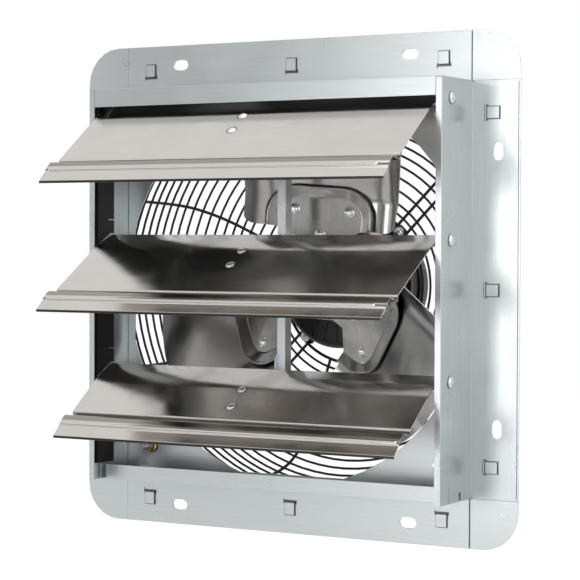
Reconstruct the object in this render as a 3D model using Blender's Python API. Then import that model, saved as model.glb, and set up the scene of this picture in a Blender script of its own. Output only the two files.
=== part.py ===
"""Wall exhaust fan with gravity shutters, at real size in metres, +Z up.

The origin is the centre of the mounting plate's front face. +X is right as seen from
the shutter side, +Y points back through the wall and +Z is up. The shutters are open.
"""

import math

import bmesh
import bpy
from mathutils import Matrix, Vector

GAP = 0.0003
GAP = 0.0003
FOLD_OVERLAP = 0.0002
CUT_OVERRUN = 0.002

# Round opening with four flats, which clears the blades' tips.
BLADE_TIP_RADIUS = 0.150
BLADE_TIP_CLEARANCE = 0.010
OPENING_FLAT_CUT = 0.0075
OPENING_RADIUS = BLADE_TIP_RADIUS + BLADE_TIP_CLEARANCE
OPENING_FLAT = OPENING_RADIUS - OPENING_FLAT_CUT

# Box channels folded from thin galvanised sheet, lying on the front of the plate.
GALVANISED = 0.0008
BOX_SIDE_MARGIN = 0.0005
BOX_END_MARGIN = 0.0010
BOX_DEPTH = 0.0556
BOTTOM_SETBACK = 0.0171
STRIP_WIDTH = 0.0380
SIDE_LIP = 0.0050
TOP_LIP = 0.0144
BOTTOM_LIP = 0.0122
SLIT_WIDTH = 0.0010
SLIT_LENGTH = 0.0125
SLIT_ADVANCE = 0.0013
NOTCH_WIDTH = 0.0035
NOTCH_LENGTH = 0.0070
NOTCH_SETBACK = 0.0180
BOX_HALF_WIDTH = OPENING_RADIUS + BOX_SIDE_MARGIN
BOX_HALF_HEIGHT = OPENING_RADIUS + BOX_END_MARGIN
BOTTOM_DEPTH = BOX_DEPTH - BOTTOM_SETBACK
SLIT_DEPTH_PLACE = BOTTOM_DEPTH + SLIT_ADVANCE
NOTCH_DEPTH_PLACE = BOTTOM_DEPTH - NOTCH_SETBACK
WALL_INNER_X = BOX_HALF_WIDTH - GALVANISED
STRIP_HALF_LENGTH = WALL_INNER_X - GAP
STRIP_FRONT = -GAP - GALVANISED

# Mounting plate: a square sheet with rounded corners behind the channels' strips.
PLATE_THICKNESS = 0.001
PLATE_EDGE_MARGIN = 0.0015
PLATE_CORNER_RADIUS = 0.030
PLATE_HALF = BOX_HALF_WIDTH + STRIP_WIDTH + PLATE_EDGE_MARGIN
PLATE_BACK = PLATE_THICKNESS

# Tabs of the plate, folded over the strips through slots.
TAB_END_INSET = 0.0234
TAB_WIDTH = 0.0095
TAB_LENGTH = 0.0105
TAB_INSET = 0.0152
TAB_SLOT_WIDTH = 0.0042
TAB_SLOT_LENGTH = 0.0125
SIDE_HOLE_SHIFT = 0.0014
TAB_SPACING = STRIP_HALF_LENGTH - TAB_END_INSET
TAB_BACK = STRIP_FRONT - GAP

# Slots for the wall screws, through strip and plate alike.
SCREW_SLOT_LENGTH = 0.0150
SCREW_SLOT_WIDTH = 0.0085
SCREW_SLOT_TO_TAB = 0.0295
SCREW_SLOT_INSET = 0.0166
SCREW_SLOT_SPACING = TAB_SPACING - SCREW_SLOT_TO_TAB

# Plastic pivot rails inside the side walls, behind their lips.
RAIL_THICKNESS = 0.0043
RAIL_WIDTH = 0.0231
RAIL_SETBACK = 0.0050
RAIL_BOTTOM_CLEARANCE = 0.0140
RAIL_TOP_CLEARANCE = 0.0110
RAIL_NOTCH = 0.006
RAIL_NOTCH_RISE = 0.0052
RAIL_CLIP_RISE = 0.0160
RAIL_CLIP_SLIT = 0.0009
RAIL_CLIP_LENGTH = 0.0080
RAIL_FRONT = BOX_DEPTH - RAIL_SETBACK
RAIL_BACK = RAIL_FRONT - RAIL_WIDTH
RAIL_BOTTOM = RAIL_BOTTOM_CLEARANCE - BOX_HALF_HEIGHT
RAIL_TOP = BOX_HALF_HEIGHT - RAIL_TOP_CLEARANCE
RAIL_OUTER_X = WALL_INNER_X - GAP
RAIL_INNER_X = RAIL_OUTER_X - RAIL_THICKNESS

# Shutter pivots: three levels, evenly spaced on one vertical line.
PIVOT_INSET = 0.0124
TOP_PIVOT_DROP = 0.0156
BOTTOM_PIVOT_RISE = 0.0920
PIN_RADIUS = 0.0024
PIN_HEAD_RADIUS = 0.0050
PIN_HEAD_HEIGHT = 0.0022
PIN_ARM = 0.0015
PIN_ARM_RADIUS = 0.0040
PIN_TAB_LENGTH = 0.013
PIN_TAB_THICKNESS = 0.001
PIN_TAB_NEAR = 0.006
PIN_TAB_FAR = 0.0145
PIVOT_DEPTH = RAIL_FRONT - PIVOT_INSET
TOP_PIVOT = BOX_HALF_HEIGHT - TOP_PIVOT_DROP
BOTTOM_PIVOT = BOTTOM_PIVOT_RISE - BOX_HALF_HEIGHT
PIVOT_PITCH = (TOP_PIVOT - BOTTOM_PIVOT) / 2
PIVOT_LEVELS = {
    "top": TOP_PIVOT,
    "middle": TOP_PIVOT - PIVOT_PITCH,
    "bottom": BOTTOM_PIVOT,
}

# Shutters: thin aluminium sheets with a stiffening bead near the lip. Closed, each
# one laps over the next one's pivot, and the bottom one over the box's bottom.
SHUTTER_END_CLEARANCE = 0.0027
SHUTTER_THICKNESS = 0.0006
SHUTTER_REAR = 0.005
SHUTTER_REAR_RISE = 0.0015
SHUTTER_BEND = 0.015
SHUTTER_RISE = 0.0054
SHUTTER_LAP = 0.0083
BOTTOM_SHUTTER_LAP = 0.0010
TOP_SHUTTER_ANGLE = math.radians(36.0)
MIDDLE_SHUTTER_ANGLE = math.radians(32.5)
BOTTOM_SHUTTER_ANGLE = math.radians(37.0)
BEAD_DIP_RUN = 0.0022
BEAD_DIP_DEPTH = 0.0042
BEAD_RISE_RUN = 0.0095
BEAD_RISE = 0.0050
BEAD_CREST_RUN = 0.0175
BEAD_CREST_END = 0.0046
BEAD_SHOULDER_RUN = 0.0210
BEAD_SHOULDER_RISE = 0.0030
LIP_RUN = 0.0325
LIP_RISE = 0.0016
SHUTTER_HALF_WIDTH = RAIL_INNER_X - SHUTTER_END_CLEARANCE
SHUTTER_FLAT = PIVOT_PITCH + SHUTTER_LAP - LIP_RUN
BOTTOM_SHUTTER_FLAT = BOTTOM_PIVOT_RISE + BOTTOM_SHUTTER_LAP - LIP_RUN
SHUTTER_ANGLES = {
    "top": TOP_SHUTTER_ANGLE,
    "middle": MIDDLE_SHUTTER_ANGLE,
    "bottom": BOTTOM_SHUTTER_ANGLE,
}
SHUTTER_FLATS = {
    "top": SHUTTER_FLAT,
    "middle": SHUTTER_FLAT,
    "bottom": BOTTOM_SHUTTER_FLAT,
}

# Levers riveted under the shutters' flats, and the tie bar that joins them.
LEVER_RIVET_X = -0.0095
LEVER_RIVET_SHARES = (0.213, 0.659)
LEVER_FOOT_WIDTH = 0.0135
LEVER_FOOT_MARGIN = 0.0062
LEVER_THICKNESS = 0.0012
LEVER_DROP = 0.0040
LEVER_EYE_RADIUS = 0.0042
LEVER_REACH = 0.0212
LEVER_FALL = 0.0113
SHUTTER_RIVET_RADIUS = 0.0015
SHUTTER_RIVET_HEAD = 0.0032
SHUTTER_RIVET_RISE = 0.0013
TIE_PIN_RADIUS = 0.0015
TIE_PIN_HEAD = 0.0026
TIE_PIN_HEAD_WIDTH = 0.0010
BAR_LEFT = -0.0012
BAR_WIDTH = 0.0073
BAR_DEPTH = 0.0095
BAR_FRONT_REACH = 0.0035
BAR_THICKNESS = 0.0008
BAR_END = 0.0029
BAR_EAR_FORWARD = 0.0045
BAR_EAR_RISE = 0.0340
BAR_EAR_HEIGHT = 0.0140
LEVER_RIVETS = tuple(
    SHUTTER_BEND + (BOTTOM_SHUTTER_FLAT - SHUTTER_BEND) * share for share in LEVER_RIVET_SHARES
)

# Wire guard behind the plate: rings as shares of the base ring's radius and of the guard's depth.
HUB_DEPTH = 0.04125
MOTOR_RADIUS = 0.053
MOTOR_RIM_HEIGHT = 0.002
GUARD_WIRE = 0.0018
GUARD_SEAT = 0.0142
GUARD_BEHIND_HUB = 0.06275
GUARD_MOTOR_CLEARANCE = 0.012
GUARD_FOOT_LENGTH = 0.0171
GUARD_ROD_PAIR_HALF = 0.0055
GUARD_BACK_RINGS = 2
GUARD_RING_SHARES = (
    (0.998, 0.139),
    (0.995, 0.226),
    (0.991, 0.312),
    (0.986, 0.396),
    (0.980, 0.485),
    (0.972, 0.572),
    (0.962, 0.656),
    (0.947, 0.737),
    (0.925, 0.810),
    (0.894, 0.871),
    (0.858, 0.922),
    (0.817, 0.959),
    (0.773, 0.983),
    (0.728, 0.995),
    (0.682, 1),
    (0.634, 1),
    (0.580, 1),
    (0.523, 1),
    (0.467, 1),
)
GUARD_SIDE_ROD_DEGREES = (24, 68, 112, 156, 204, 252, 288, 336)
GUARD_SIDE_RODS = tuple(math.radians(turn) for turn in GUARD_SIDE_ROD_DEGREES)
GUARD_CORNERS = tuple(math.radians(turn) for turn in (45.0, 135.0, 225.0, 315.0))
GUARD_LARGEST_STEP = math.radians(24.5)
GUARD_FOOT_TURNS = 6
MOTOR_RIM_RADIUS = MOTOR_RADIUS + MOTOR_RIM_HEIGHT
GUARD_WIRE_RADIUS = GUARD_WIRE / 2
GUARD_BASE_RADIUS = OPENING_RADIUS + GUARD_SEAT
GUARD_BASE_DEPTH = PLATE_BACK + GAP + GUARD_WIRE_RADIUS
GUARD_BACK = HUB_DEPTH + GUARD_BEHIND_HUB
GUARD_LAST_CURVED_RADIUS = GUARD_BASE_RADIUS * GUARD_RING_SHARES[-1][0]
GUARD_INNER_RADIUS = MOTOR_RIM_RADIUS + GUARD_MOTOR_CLEARANCE
GUARD_BACK_PITCH = (GUARD_LAST_CURVED_RADIUS - GUARD_INNER_RADIUS) / GUARD_BACK_RINGS

# Corner bolts that hold the guard's feet.
CORNER_BOLT_RADIUS = 0.003
CORNER_BOLT_FORWARD = 0.0130
CORNER_BOLT_HEAD_RADIUS = 0.0075
CORNER_BOLT_HEAD_HEIGHT = 0.0035
CORNER_NUT_RADIUS = 0.0048
CORNER_NUT_HEIGHT = 0.0050
CORNER_NUT_FLANGE_RADIUS = 0.0060
CORNER_NUT_FLANGE_HEIGHT = 0.0020
CORNER_BOLT_REACH = GUARD_BASE_RADIUS + GUARD_FOOT_LENGTH
CORNER_BOLT_SPACING = CORNER_BOLT_REACH * math.cos(math.pi / 4)

# Motor on the fan's axis, passing through the guard's inner ring and bolted to the guard.
MOTOR_RIM_WIDTH = 0.003
MOTOR_FRONT_LENGTH = 0.0314
MOTOR_STATOR_LENGTH = 0.020
MOTOR_REAR_LENGTH = 0.020
MOTOR_EDGE_RADIUS = 0.006
MOTOR_BOSS_RADIUS = 0.014
MOTOR_BOSS_HEIGHT = 0.004
MOTOR_PLATE_THICKNESS = 0.002
MOTOR_PLATE_MARGIN = 0.0005
MOTOR_PLATE_HOLE = 0.020
MOTOR_EAR_WIDTH = 0.016
MOTOR_EAR_MARGIN = 0.0055
MOTOR_BOLT_RADIUS = 0.002
MOTOR_BOLT_INSET = 0.0038
MOTOR_BOLT_HEAD = 0.0048
MOTOR_BOLT_HEAD_HEIGHT = 0.0024
MOTOR_BOLT_TAIL = 0.003
MOTOR_FACETS = 24
ROTOR_RADIUS = 0.024
ROTOR_AIR_GAP = 0.0010
ROTOR_END_GAP = 0.002
GROMMET_RADIUS = 0.0065
GROMMET_HOLE = 0.0032
GROMMET_HEIGHT = 0.007
GROMMET_INSET = 0.0105
GROMMET_PLACE = MOTOR_RADIUS - MOTOR_EDGE_RADIUS - GROMMET_INSET
MOTOR_PLATE_RADIUS = MOTOR_RIM_RADIUS + MOTOR_PLATE_MARGIN
MOTOR_PLATE_FRONT = GUARD_BACK + GUARD_WIRE_RADIUS + GAP
MOTOR_BOLT_PLACE = GUARD_INNER_RADIUS - MOTOR_BOLT_INSET
MOTOR_EAR_REACH = MOTOR_BOLT_PLACE + MOTOR_EAR_MARGIN
FRONT_CAP_BACK = MOTOR_PLATE_FRONT - GAP
MOTOR_FRONT = FRONT_CAP_BACK - MOTOR_FRONT_LENGTH
STATOR_FRONT = MOTOR_PLATE_FRONT + MOTOR_PLATE_THICKNESS + GAP
STATOR_BACK = STATOR_FRONT + MOTOR_STATOR_LENGTH
REAR_CAP_FRONT = STATOR_BACK + GAP
REAR_CAP_BACK = REAR_CAP_FRONT + MOTOR_REAR_LENGTH

# Shaft, hub spider and blades, all turning about the Y axis.
SHAFT_RADIUS = 0.004
SHAFT_OVERHANG = 0.00525
SHAFT_IN_CAP = 0.012
HUB_HOLE_RADIUS = 0.0085
HUB_RUNNING_GAP = 0.008
SPIDER_THICKNESS = 0.0015
SPIDER_TURNS = tuple(math.radians(turn) for turn in (85.4, 205.4, 325.4))
SPIDER_TILT = 0.30
SPIDER_HALF_WIDTH = 0.0425
SPIDER_REACH = 0.0825
SPIDER_CORNER = 0.025
SPIDER_RIM_WIDTH = 0.0015
SPIDER_RIM_SLOPE = 0.0083
SPIDER_RIM_RISE = 0.005
SPIDER_GAP_SHARES = (
    (0.327, 0.19),
    (0.39, 0.30),
    (0.625, 0.30),
    (0.737, 0.246),
    (0.85, 0.19),
)
SPIDER_TILT_START = 0.021
SPIDER_TILT_RUN = 0.013
SPIDER_ARM_STEPS = 12
SPIDER_FULL_TILT_TURN = math.radians(40.0)
COLLAR_RADIUS = 0.014
COLLAR_FLANGE_MARGIN = 0.0015
COLLAR_FLANGE_THICKNESS = 0.003
BLADE_THICKNESS = 0.0012
BLADE_LEADING_EDGE = 0.0563
BLADE_TRAILING_EDGE = 0.0631
BLADE_TRAILING_FLARE = 0.16
BLADE_FLARE_START = 0.060
BLADE_ROOT = 0.048
BLADE_TONGUE_ROOT = 0.037
BLADE_TONGUE_HALF = 0.0125
BLADE_TONGUE_FLANK = 0.006
BLADE_SWEEP = 0.275
BLADE_LEADING_CURL = 0.0155
BLADE_TRAILING_CURL = 0.0112
BLADE_ROOT_CORNER = 0.007
BLADE_TIP_CORNER = 0.024
BLADE_COLUMN_SHARES = (0, 0.05, 0.13, 0.24, 0.35, 0.45, 0.6, 0.7, 0.8, 0.88, 0.95, 1)
BLADE_ROW_SHARES = (0, 0.33, 0.67, 1)
BLADE_RIVET_TO_RIM = 0.0099
BLADE_RIVET_TO_SIDE = 0.0106
BLADE_RIVET_TO_ROOT = 0.0058
BLADE_RIVET_RADIUS = 0.002
BLADE_RIVET_HEAD = 0.0045
BLADE_RIVET_RISE = 0.0022
SHAFT_FRONT = HUB_DEPTH - SHAFT_OVERHANG
SHAFT_BACK = REAR_CAP_FRONT + SHAFT_IN_CAP
COLLAR_FRONT = HUB_DEPTH + SPIDER_THICKNESS + GAP
COLLAR_BACK = MOTOR_FRONT - MOTOR_BOSS_HEIGHT - HUB_RUNNING_GAP
COLLAR_FLANGE_RADIUS = SPIDER_TILT_START - COLLAR_FLANGE_MARGIN
SPIDER_TILT_END = SPIDER_TILT_START + SPIDER_TILT_RUN
SPIDER_SLOPE = math.atan(SPIDER_TILT)
BLADE_FLAT_HALF = SPIDER_HALF_WIDTH - SPIDER_RIM_WIDTH - SPIDER_RIM_SLOPE
BLADE_FLAT_REACH = SPIDER_REACH - SPIDER_RIM_WIDTH - SPIDER_RIM_SLOPE
BLADE_RIVET_REACH = BLADE_FLAT_REACH - BLADE_RIVET_TO_RIM
BLADE_RIVET_SIDE = BLADE_FLAT_HALF - BLADE_RIVET_TO_SIDE
BLADE_RIVET_INNER = BLADE_TONGUE_ROOT + BLADE_RIVET_TO_ROOT

# Surface finishes: colour, metallic value and roughness.
FINISHES = {
    "galvanised": ((0.62, 0.65, 0.66), 0.9, 0.42),
    "shutter_aluminium": ((0.66, 0.64, 0.61), 1.0, 0.22),
    "black_wire": ((0.012, 0.012, 0.013), 0.0, 0.4),
    "black_plastic": ((0.02, 0.02, 0.021), 0.0, 0.55),
    "motor_black": ((0.014, 0.014, 0.016), 0.0, 0.45),
    "polished_steel": ((0.62, 0.61, 0.6), 1.0, 0.2),
    "blade_aluminium": ((0.6, 0.59, 0.58), 1.0, 0.3),
    "zinc": ((0.7, 0.7, 0.68), 1.0, 0.3),
    "brass": ((0.55, 0.42, 0.2), 1.0, 0.35),
    "rubber": ((0.02, 0.02, 0.02), 0.0, 0.7),
}


def clear_scene():
    for thing in list(bpy.data.objects):
        bpy.data.objects.remove(thing, do_unlink=True)


def finish(name):
    known = bpy.data.materials.get(name)
    if known:
        return known
    colour, metallic, roughness = FINISHES[name]
    made = bpy.data.materials.new(name)
    made.use_nodes = True
    shader = made.node_tree.nodes["Principled BSDF"]
    shader.inputs["Base Color"].default_value = (*colour, 1)
    shader.inputs["Metallic"].default_value = metallic
    shader.inputs["Roughness"].default_value = roughness
    return made


def mesh_from(bm, smooth_angle=math.radians(35)):
    """Closes a bmesh into a mesh whose faces point outwards."""
    bmesh.ops.recalc_face_normals(bm, faces=bm.faces[:])
    mesh = bpy.data.meshes.new("piece")
    bm.to_mesh(mesh)
    bm.free()
    mesh.shade_smooth()
    mesh.set_sharp_from_angle(angle=smooth_angle)
    return mesh


def place_node(name, mesh, surface, location=(0, 0, 0), rotation=(0, 0, 0), parent=None):
    """Adds a named object for one piece of the fan."""
    node = bpy.data.objects.new(name, mesh)
    bpy.context.scene.collection.objects.link(node)
    mesh.materials.clear()
    mesh.materials.append(finish(surface))
    node.location = location
    node.rotation_euler = rotation
    node.parent = parent
    return node


def joint_empty(name, location):
    """An empty on a joint's axis, which carries the pieces that move together."""
    empty = bpy.data.objects.new(name, None)
    bpy.context.scene.collection.objects.link(empty)
    empty.location = location
    return empty


def solid_boolean(base, other, operation):
    """The mesh of base with the other mesh joined to it or cut from it."""
    body = bpy.data.objects.new("body", base)
    tool = bpy.data.objects.new("tool", other)
    for helper in (body, tool):
        bpy.context.scene.collection.objects.link(helper)
    modifier = body.modifiers.new("combine", "BOOLEAN")
    modifier.object = tool
    modifier.operation = operation
    modifier.solver = "EXACT"
    graph = bpy.context.evaluated_depsgraph_get()
    mesh = bpy.data.meshes.new_from_object(body.evaluated_get(graph))
    for helper in (body, tool):
        bpy.data.objects.remove(helper, do_unlink=True)
    return mesh


def joined(meshes):
    """One solid from meshes that overlap."""
    whole = meshes[0]
    for more in meshes[1:]:
        whole = solid_boolean(whole, more, "UNION")
    return whole


def cut(mesh, cutters):
    for cutter in cutters:
        mesh = solid_boolean(mesh, cutter, "DIFFERENCE")
    return mesh


def across_x(along, u, v):
    return Vector((along, u, v))


def across_y(along, u, v):
    return Vector((u, along, v))


def across_z(along, u, v):
    return Vector((u, v, along))


def prism(loops, low, high, axis):
    """A flat plate between low and high on an axis; loops are its outline and its holes."""
    bm = bmesh.new()
    edges = []
    for loop in loops:
        corners = [bm.verts.new(axis(low, u, v)) for u, v in loop]
        for index, corner in enumerate(corners):
            edges.append(bm.edges.new((corners[index - 1], corner)))
    bmesh.ops.triangle_fill(bm, use_beauty=True, use_dissolve=False, edges=edges)
    extruded = bmesh.ops.extrude_face_region(bm, geom=bm.faces[:])
    moved = [item for item in extruded["geom"] if isinstance(item, bmesh.types.BMVert)]
    bmesh.ops.translate(bm, verts=moved, vec=axis(high - low, 0, 0))
    return mesh_from(bm)


def rectangle(low_u, low_v, high_u, high_v):
    return [(low_u, low_v), (high_u, low_v), (high_u, high_v), (low_u, high_v)]


def box(low, high):
    return prism([rectangle(low[0], low[2], high[0], high[2])], low[1], high[1], across_y)


def arc(centre, radius, start, end, steps):
    """Points on an arc, with both ends."""
    turns = [start + (end - start) * step / steps for step in range(steps + 1)]
    return [(centre[0] + radius * math.cos(turn), centre[1] + radius * math.sin(turn)) for turn in turns]


def circle(centre, radius, steps):
    return arc(centre, radius, 0, math.tau, steps)[:-1]


def slot(centre, length, width, steps=4):
    """The outline of a slot with round ends."""
    reach = (length - width) / 2
    ends = arc((reach, 0), width / 2, -math.pi / 2, math.pi / 2, steps)
    ends += arc((-reach, 0), width / 2, math.pi / 2, math.pi * 3 / 2, steps)
    return [(centre[0] + u, centre[1] + v) for u, v in ends]


def ribbon(path, thickness):
    """The outline of a folded sheet: its path, then the same path one thickness to the right."""
    backs = []
    for index, point in enumerate(path):
        here = Vector(point)
        before = here - Vector(path[max(index - 1, 0)])
        after = Vector(path[min(index + 1, len(path) - 1)]) - here
        first = before.normalized() if index else after.normalized()
        second = after.normalized() if index < len(path) - 1 else first
        middle = (first + second).normalized()
        side = Vector((middle.y, -middle.x))
        spread = max(side.dot(Vector((first.y, -first.x))), math.cos(math.pi / 3))
        backs.append(here + side * thickness / spread)
    return [tuple(point) for point in path] + [tuple(back) for back in reversed(backs)]


def turned(profile, steps):
    """A solid turned about the Y axis from (radius, y) points, which end on the axis or close a ring."""
    bm = bmesh.new()
    corners = [bm.verts.new((radius, depth, 0)) for radius, depth in profile]
    edges = [bm.edges.new((corners[index], corners[index + 1])) for index in range(len(corners) - 1)]
    closed = profile[0][0] > 0
    if closed:
        edges.append(bm.edges.new((corners[-1], corners[0])))
    bmesh.ops.spin(
        bm,
        geom=corners + edges,
        cent=(0, 0, 0),
        axis=(0, 1, 0),
        angle=math.tau,
        steps=steps,
        use_merge=True,
    )
    bmesh.ops.remove_doubles(bm, verts=bm.verts[:], dist=GAP / 10)
    return mesh_from(bm)


def moved(mesh, matrix):
    copy = mesh.copy()
    copy.transform(matrix)
    return copy


def dome(radius, height, base, direction, steps):
    """(radius, y) points of a dome on a base plane, from its rim to its top."""
    turns = [math.pi / 2 * step / steps for step in range(steps)]
    rim = [(radius * math.cos(turn), base + direction * height * math.sin(turn)) for turn in turns]
    return rim + [(0, base + direction * height)]


def four_sides():
    """A quarter turn about the Y axis for each side of the square plate, from the top on."""
    return {
        side: Matrix.Rotation(quarter * math.pi / 2, 4, "Y")
        for quarter, side in enumerate(("top", "right", "bottom", "left"))
    }


def turned_loop(loop, matrix):
    """An outline in the X-Z plane, turned with one side of the plate."""
    points = [matrix @ Vector((u, 0, v)) for u, v in loop]
    return [(point.x, point.z) for point in points]


def hole_inset(side, inset):
    """Slots and tabs of the left and right sides lie a little further in."""
    return inset + (SIDE_HOLE_SHIFT if side in ("left", "right") else 0)


def tab_slots(side):
    """Slots for the tabs in one flange strip, as if it lay along the top."""
    tab_start = PLATE_HALF - hole_inset(side, TAB_INSET) - TAB_LENGTH
    outer = tab_start + PLATE_THICKNESS + GAP
    half = TAB_SLOT_LENGTH / 2
    return [
        rectangle(place - half, outer - TAB_SLOT_WIDTH, place + half, outer)
        for place in (-TAB_SPACING, 0, TAB_SPACING)
    ]


def screw_slots(side):
    height = PLATE_HALF - hole_inset(side, SCREW_SLOT_INSET)
    places = (-SCREW_SLOT_SPACING, SCREW_SLOT_SPACING)
    return [slot((place, height), SCREW_SLOT_LENGTH, SCREW_SLOT_WIDTH) for place in places]


def plate_opening():
    """A circle with four flats."""
    flat_turn = math.acos(OPENING_FLAT / OPENING_RADIUS)
    points = []
    for quarter in range(4):
        start = quarter * math.pi / 2 + flat_turn
        points += arc((0, 0), OPENING_RADIUS, start, start + math.pi / 2 - 2 * flat_turn, 8)
    return points


def rounded_square(half, radius, steps):
    points = []
    for quarter, (side_x, side_z) in enumerate(((1, 1), (-1, 1), (-1, -1), (1, -1))):
        centre = (side_x * (half - radius), side_z * (half - radius))
        points += arc(centre, radius, quarter * math.pi / 2, (quarter + 1) * math.pi / 2, steps)
    return points


def plate_tab(side):
    """A tab folded up out of the plate and over the strip, as if it lay along the top."""
    tab_front = TAB_BACK - PLATE_THICKNESS
    tab_end = PLATE_HALF - hole_inset(side, TAB_INSET)
    tab_start = tab_end - TAB_LENGTH
    outline = [
        (PLATE_THICKNESS - FOLD_OVERLAP, tab_start),
        (PLATE_THICKNESS - FOLD_OVERLAP, tab_start + PLATE_THICKNESS),
        (TAB_BACK, tab_start + PLATE_THICKNESS),
        (TAB_BACK, tab_end),
        (tab_front, tab_end),
        (tab_front, tab_start),
    ]
    return outline


def mounting_plate():
    loops = [rounded_square(PLATE_HALF, PLATE_CORNER_RADIUS, 6), plate_opening()]
    for side, turn in four_sides().items():
        loops += [turned_loop(loop, turn) for loop in screw_slots(side)]
    for across in (-CORNER_BOLT_SPACING, CORNER_BOLT_SPACING):
        for up in (-CORNER_BOLT_SPACING, CORNER_BOLT_SPACING):
            loops.append(circle((across, up), CORNER_BOLT_RADIUS + GAP, 12))
    plate = prism(loops, 0, PLATE_THICKNESS, across_y)
    for side, turn in four_sides().items():
        for place in (-TAB_SPACING, 0, TAB_SPACING):
            tab = prism([plate_tab(side)], place - TAB_WIDTH / 2, place + TAB_WIDTH / 2, across_x)
            plate = joined([plate, moved(tab, turn)])
    place_node("mounting_plate", plate, "galvanised")


def flange_strip(side, box_half):
    """The flat strip of a channel, as if it lay along the top of the plate."""
    inner = box_half - GALVANISED + FOLD_OVERLAP
    outline = rectangle(-STRIP_HALF_LENGTH, inner, STRIP_HALF_LENGTH, box_half + STRIP_WIDTH)
    loops = [outline, *tab_slots(side), *screw_slots(side)]
    return moved(prism(loops, STRIP_FRONT, STRIP_FRONT + GALVANISED, across_y), four_sides()[side])


def level_channel(name, side, depth, lip_height):
    """Top or bottom channel: strip, wall and front lip."""
    strip = flange_strip(name, BOX_HALF_HEIGHT)
    reach = WALL_INNER_X - GAP
    back = -GAP - FOLD_OVERLAP
    wall_low, wall_high = sorted((side * BOX_HALF_HEIGHT, side * (BOX_HALF_HEIGHT - GALVANISED)))
    wall = box((-reach, -depth + FOLD_OVERLAP, wall_low), (reach, back, wall_high))
    lip_reach = BOX_HALF_WIDTH - SIDE_LIP - GAP
    outer = BOX_HALF_HEIGHT - FOLD_OVERLAP
    lip_low, lip_high = sorted((side * outer, side * (BOX_HALF_HEIGHT - lip_height)))
    lip = box((-lip_reach, -depth, lip_low), (lip_reach, -depth + GALVANISED, lip_high))
    place_node(f"{name}_channel", joined([strip, wall, lip]), "galvanised")


def side_channel(name, side):
    """Left or right channel: strip, wall with pivot holes and end slits, and front lip."""
    strip = flange_strip(name, BOX_HALF_WIDTH)
    back = -GAP - FOLD_OVERLAP
    outline = rectangle(-BOX_DEPTH + FOLD_OVERLAP, -BOX_HALF_HEIGHT, back, BOX_HALF_HEIGHT)
    holes = [circle((-PIVOT_DEPTH, level), PIN_RADIUS + GAP, 12) for level in PIVOT_LEVELS.values()]
    wall_low, wall_high = sorted((side * BOX_HALF_WIDTH, side * (BOX_HALF_WIDTH - GALVANISED)))
    wall = prism([outline, *holes], wall_low, wall_high, across_x)
    outer = BOX_HALF_WIDTH - FOLD_OVERLAP
    lip_low, lip_high = sorted((side * outer, side * (BOX_HALF_WIDTH - SIDE_LIP)))
    lip_bottom = -BOX_HALF_HEIGHT + FOLD_OVERLAP
    lip_top = BOX_HALF_HEIGHT - GALVANISED - GAP
    lip = box((lip_low, -BOX_DEPTH, lip_bottom), (lip_high, -BOX_DEPTH + GALVANISED, lip_top))
    channel = joined([strip, wall, lip])
    cutters = []
    for place, width, length in (
        (SLIT_DEPTH_PLACE, SLIT_WIDTH, SLIT_LENGTH),
        (NOTCH_DEPTH_PLACE, NOTCH_WIDTH, NOTCH_LENGTH),
    ):
        low = (wall_low - CUT_OVERRUN, -place - width / 2, -BOX_HALF_HEIGHT - CUT_OVERRUN)
        high = (wall_high + CUT_OVERRUN, -place + width / 2, -BOX_HALF_HEIGHT + length)
        cutters.append(box(low, high))
    place_node(f"{name}_channel", cut(channel, cutters), "galvanised")


def pivot_rail(name, side):
    """Plastic strip that the shutter pins turn in, with a clip above each pivot."""
    low_x, high_x = sorted((side * RAIL_INNER_X, side * RAIL_OUTER_X))
    outline = [(-RAIL_FRONT, RAIL_BOTTOM), (-RAIL_BACK, RAIL_BOTTOM)]
    for level in reversed(PIVOT_LEVELS.values()):
        notch_top = min(level + RAIL_NOTCH_RISE, RAIL_TOP - GAP)
        outline += [
            (-RAIL_BACK, level - RAIL_NOTCH_RISE),
            (-RAIL_BACK - RAIL_NOTCH, level - RAIL_NOTCH_RISE),
            (-RAIL_BACK - RAIL_NOTCH, notch_top),
        ]
        clip = level + RAIL_CLIP_RISE
        if clip + RAIL_CLIP_SLIT < RAIL_TOP:
            outline += [
                (-RAIL_BACK, notch_top),
                (-RAIL_BACK, clip),
                (-RAIL_BACK - RAIL_CLIP_LENGTH, clip),
                (-RAIL_BACK - RAIL_CLIP_LENGTH, clip + RAIL_CLIP_SLIT),
                (-RAIL_BACK, clip + RAIL_CLIP_SLIT),
            ]
    outline += [(-RAIL_BACK - RAIL_NOTCH, RAIL_TOP), (-RAIL_FRONT, RAIL_TOP)]
    holes = [circle((-PIVOT_DEPTH, level), PIN_RADIUS + GAP, 12) for level in PIVOT_LEVELS.values()]
    place_node(f"{name}_pivot_rail", prism([outline, *holes], low_x, high_x, across_x), "black_plastic")


def shutter_path(flat):
    """The upper face of a shutter seen from its end: forward is negative, up is positive."""
    points = [
        (SHUTTER_REAR, SHUTTER_REAR_RISE),
        (-SHUTTER_BEND, SHUTTER_RISE),
        (-flat, SHUTTER_RISE),
        (-flat - BEAD_DIP_RUN, SHUTTER_RISE - BEAD_DIP_DEPTH),
        (-flat - BEAD_RISE_RUN, SHUTTER_RISE + BEAD_RISE),
        (-flat - BEAD_CREST_RUN, SHUTTER_RISE + BEAD_CREST_END),
        (-flat - BEAD_SHOULDER_RUN, SHUTTER_RISE + BEAD_SHOULDER_RISE),
        (-flat - LIP_RUN, SHUTTER_RISE + LIP_RISE),
    ]
    return list(reversed(points))


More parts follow.
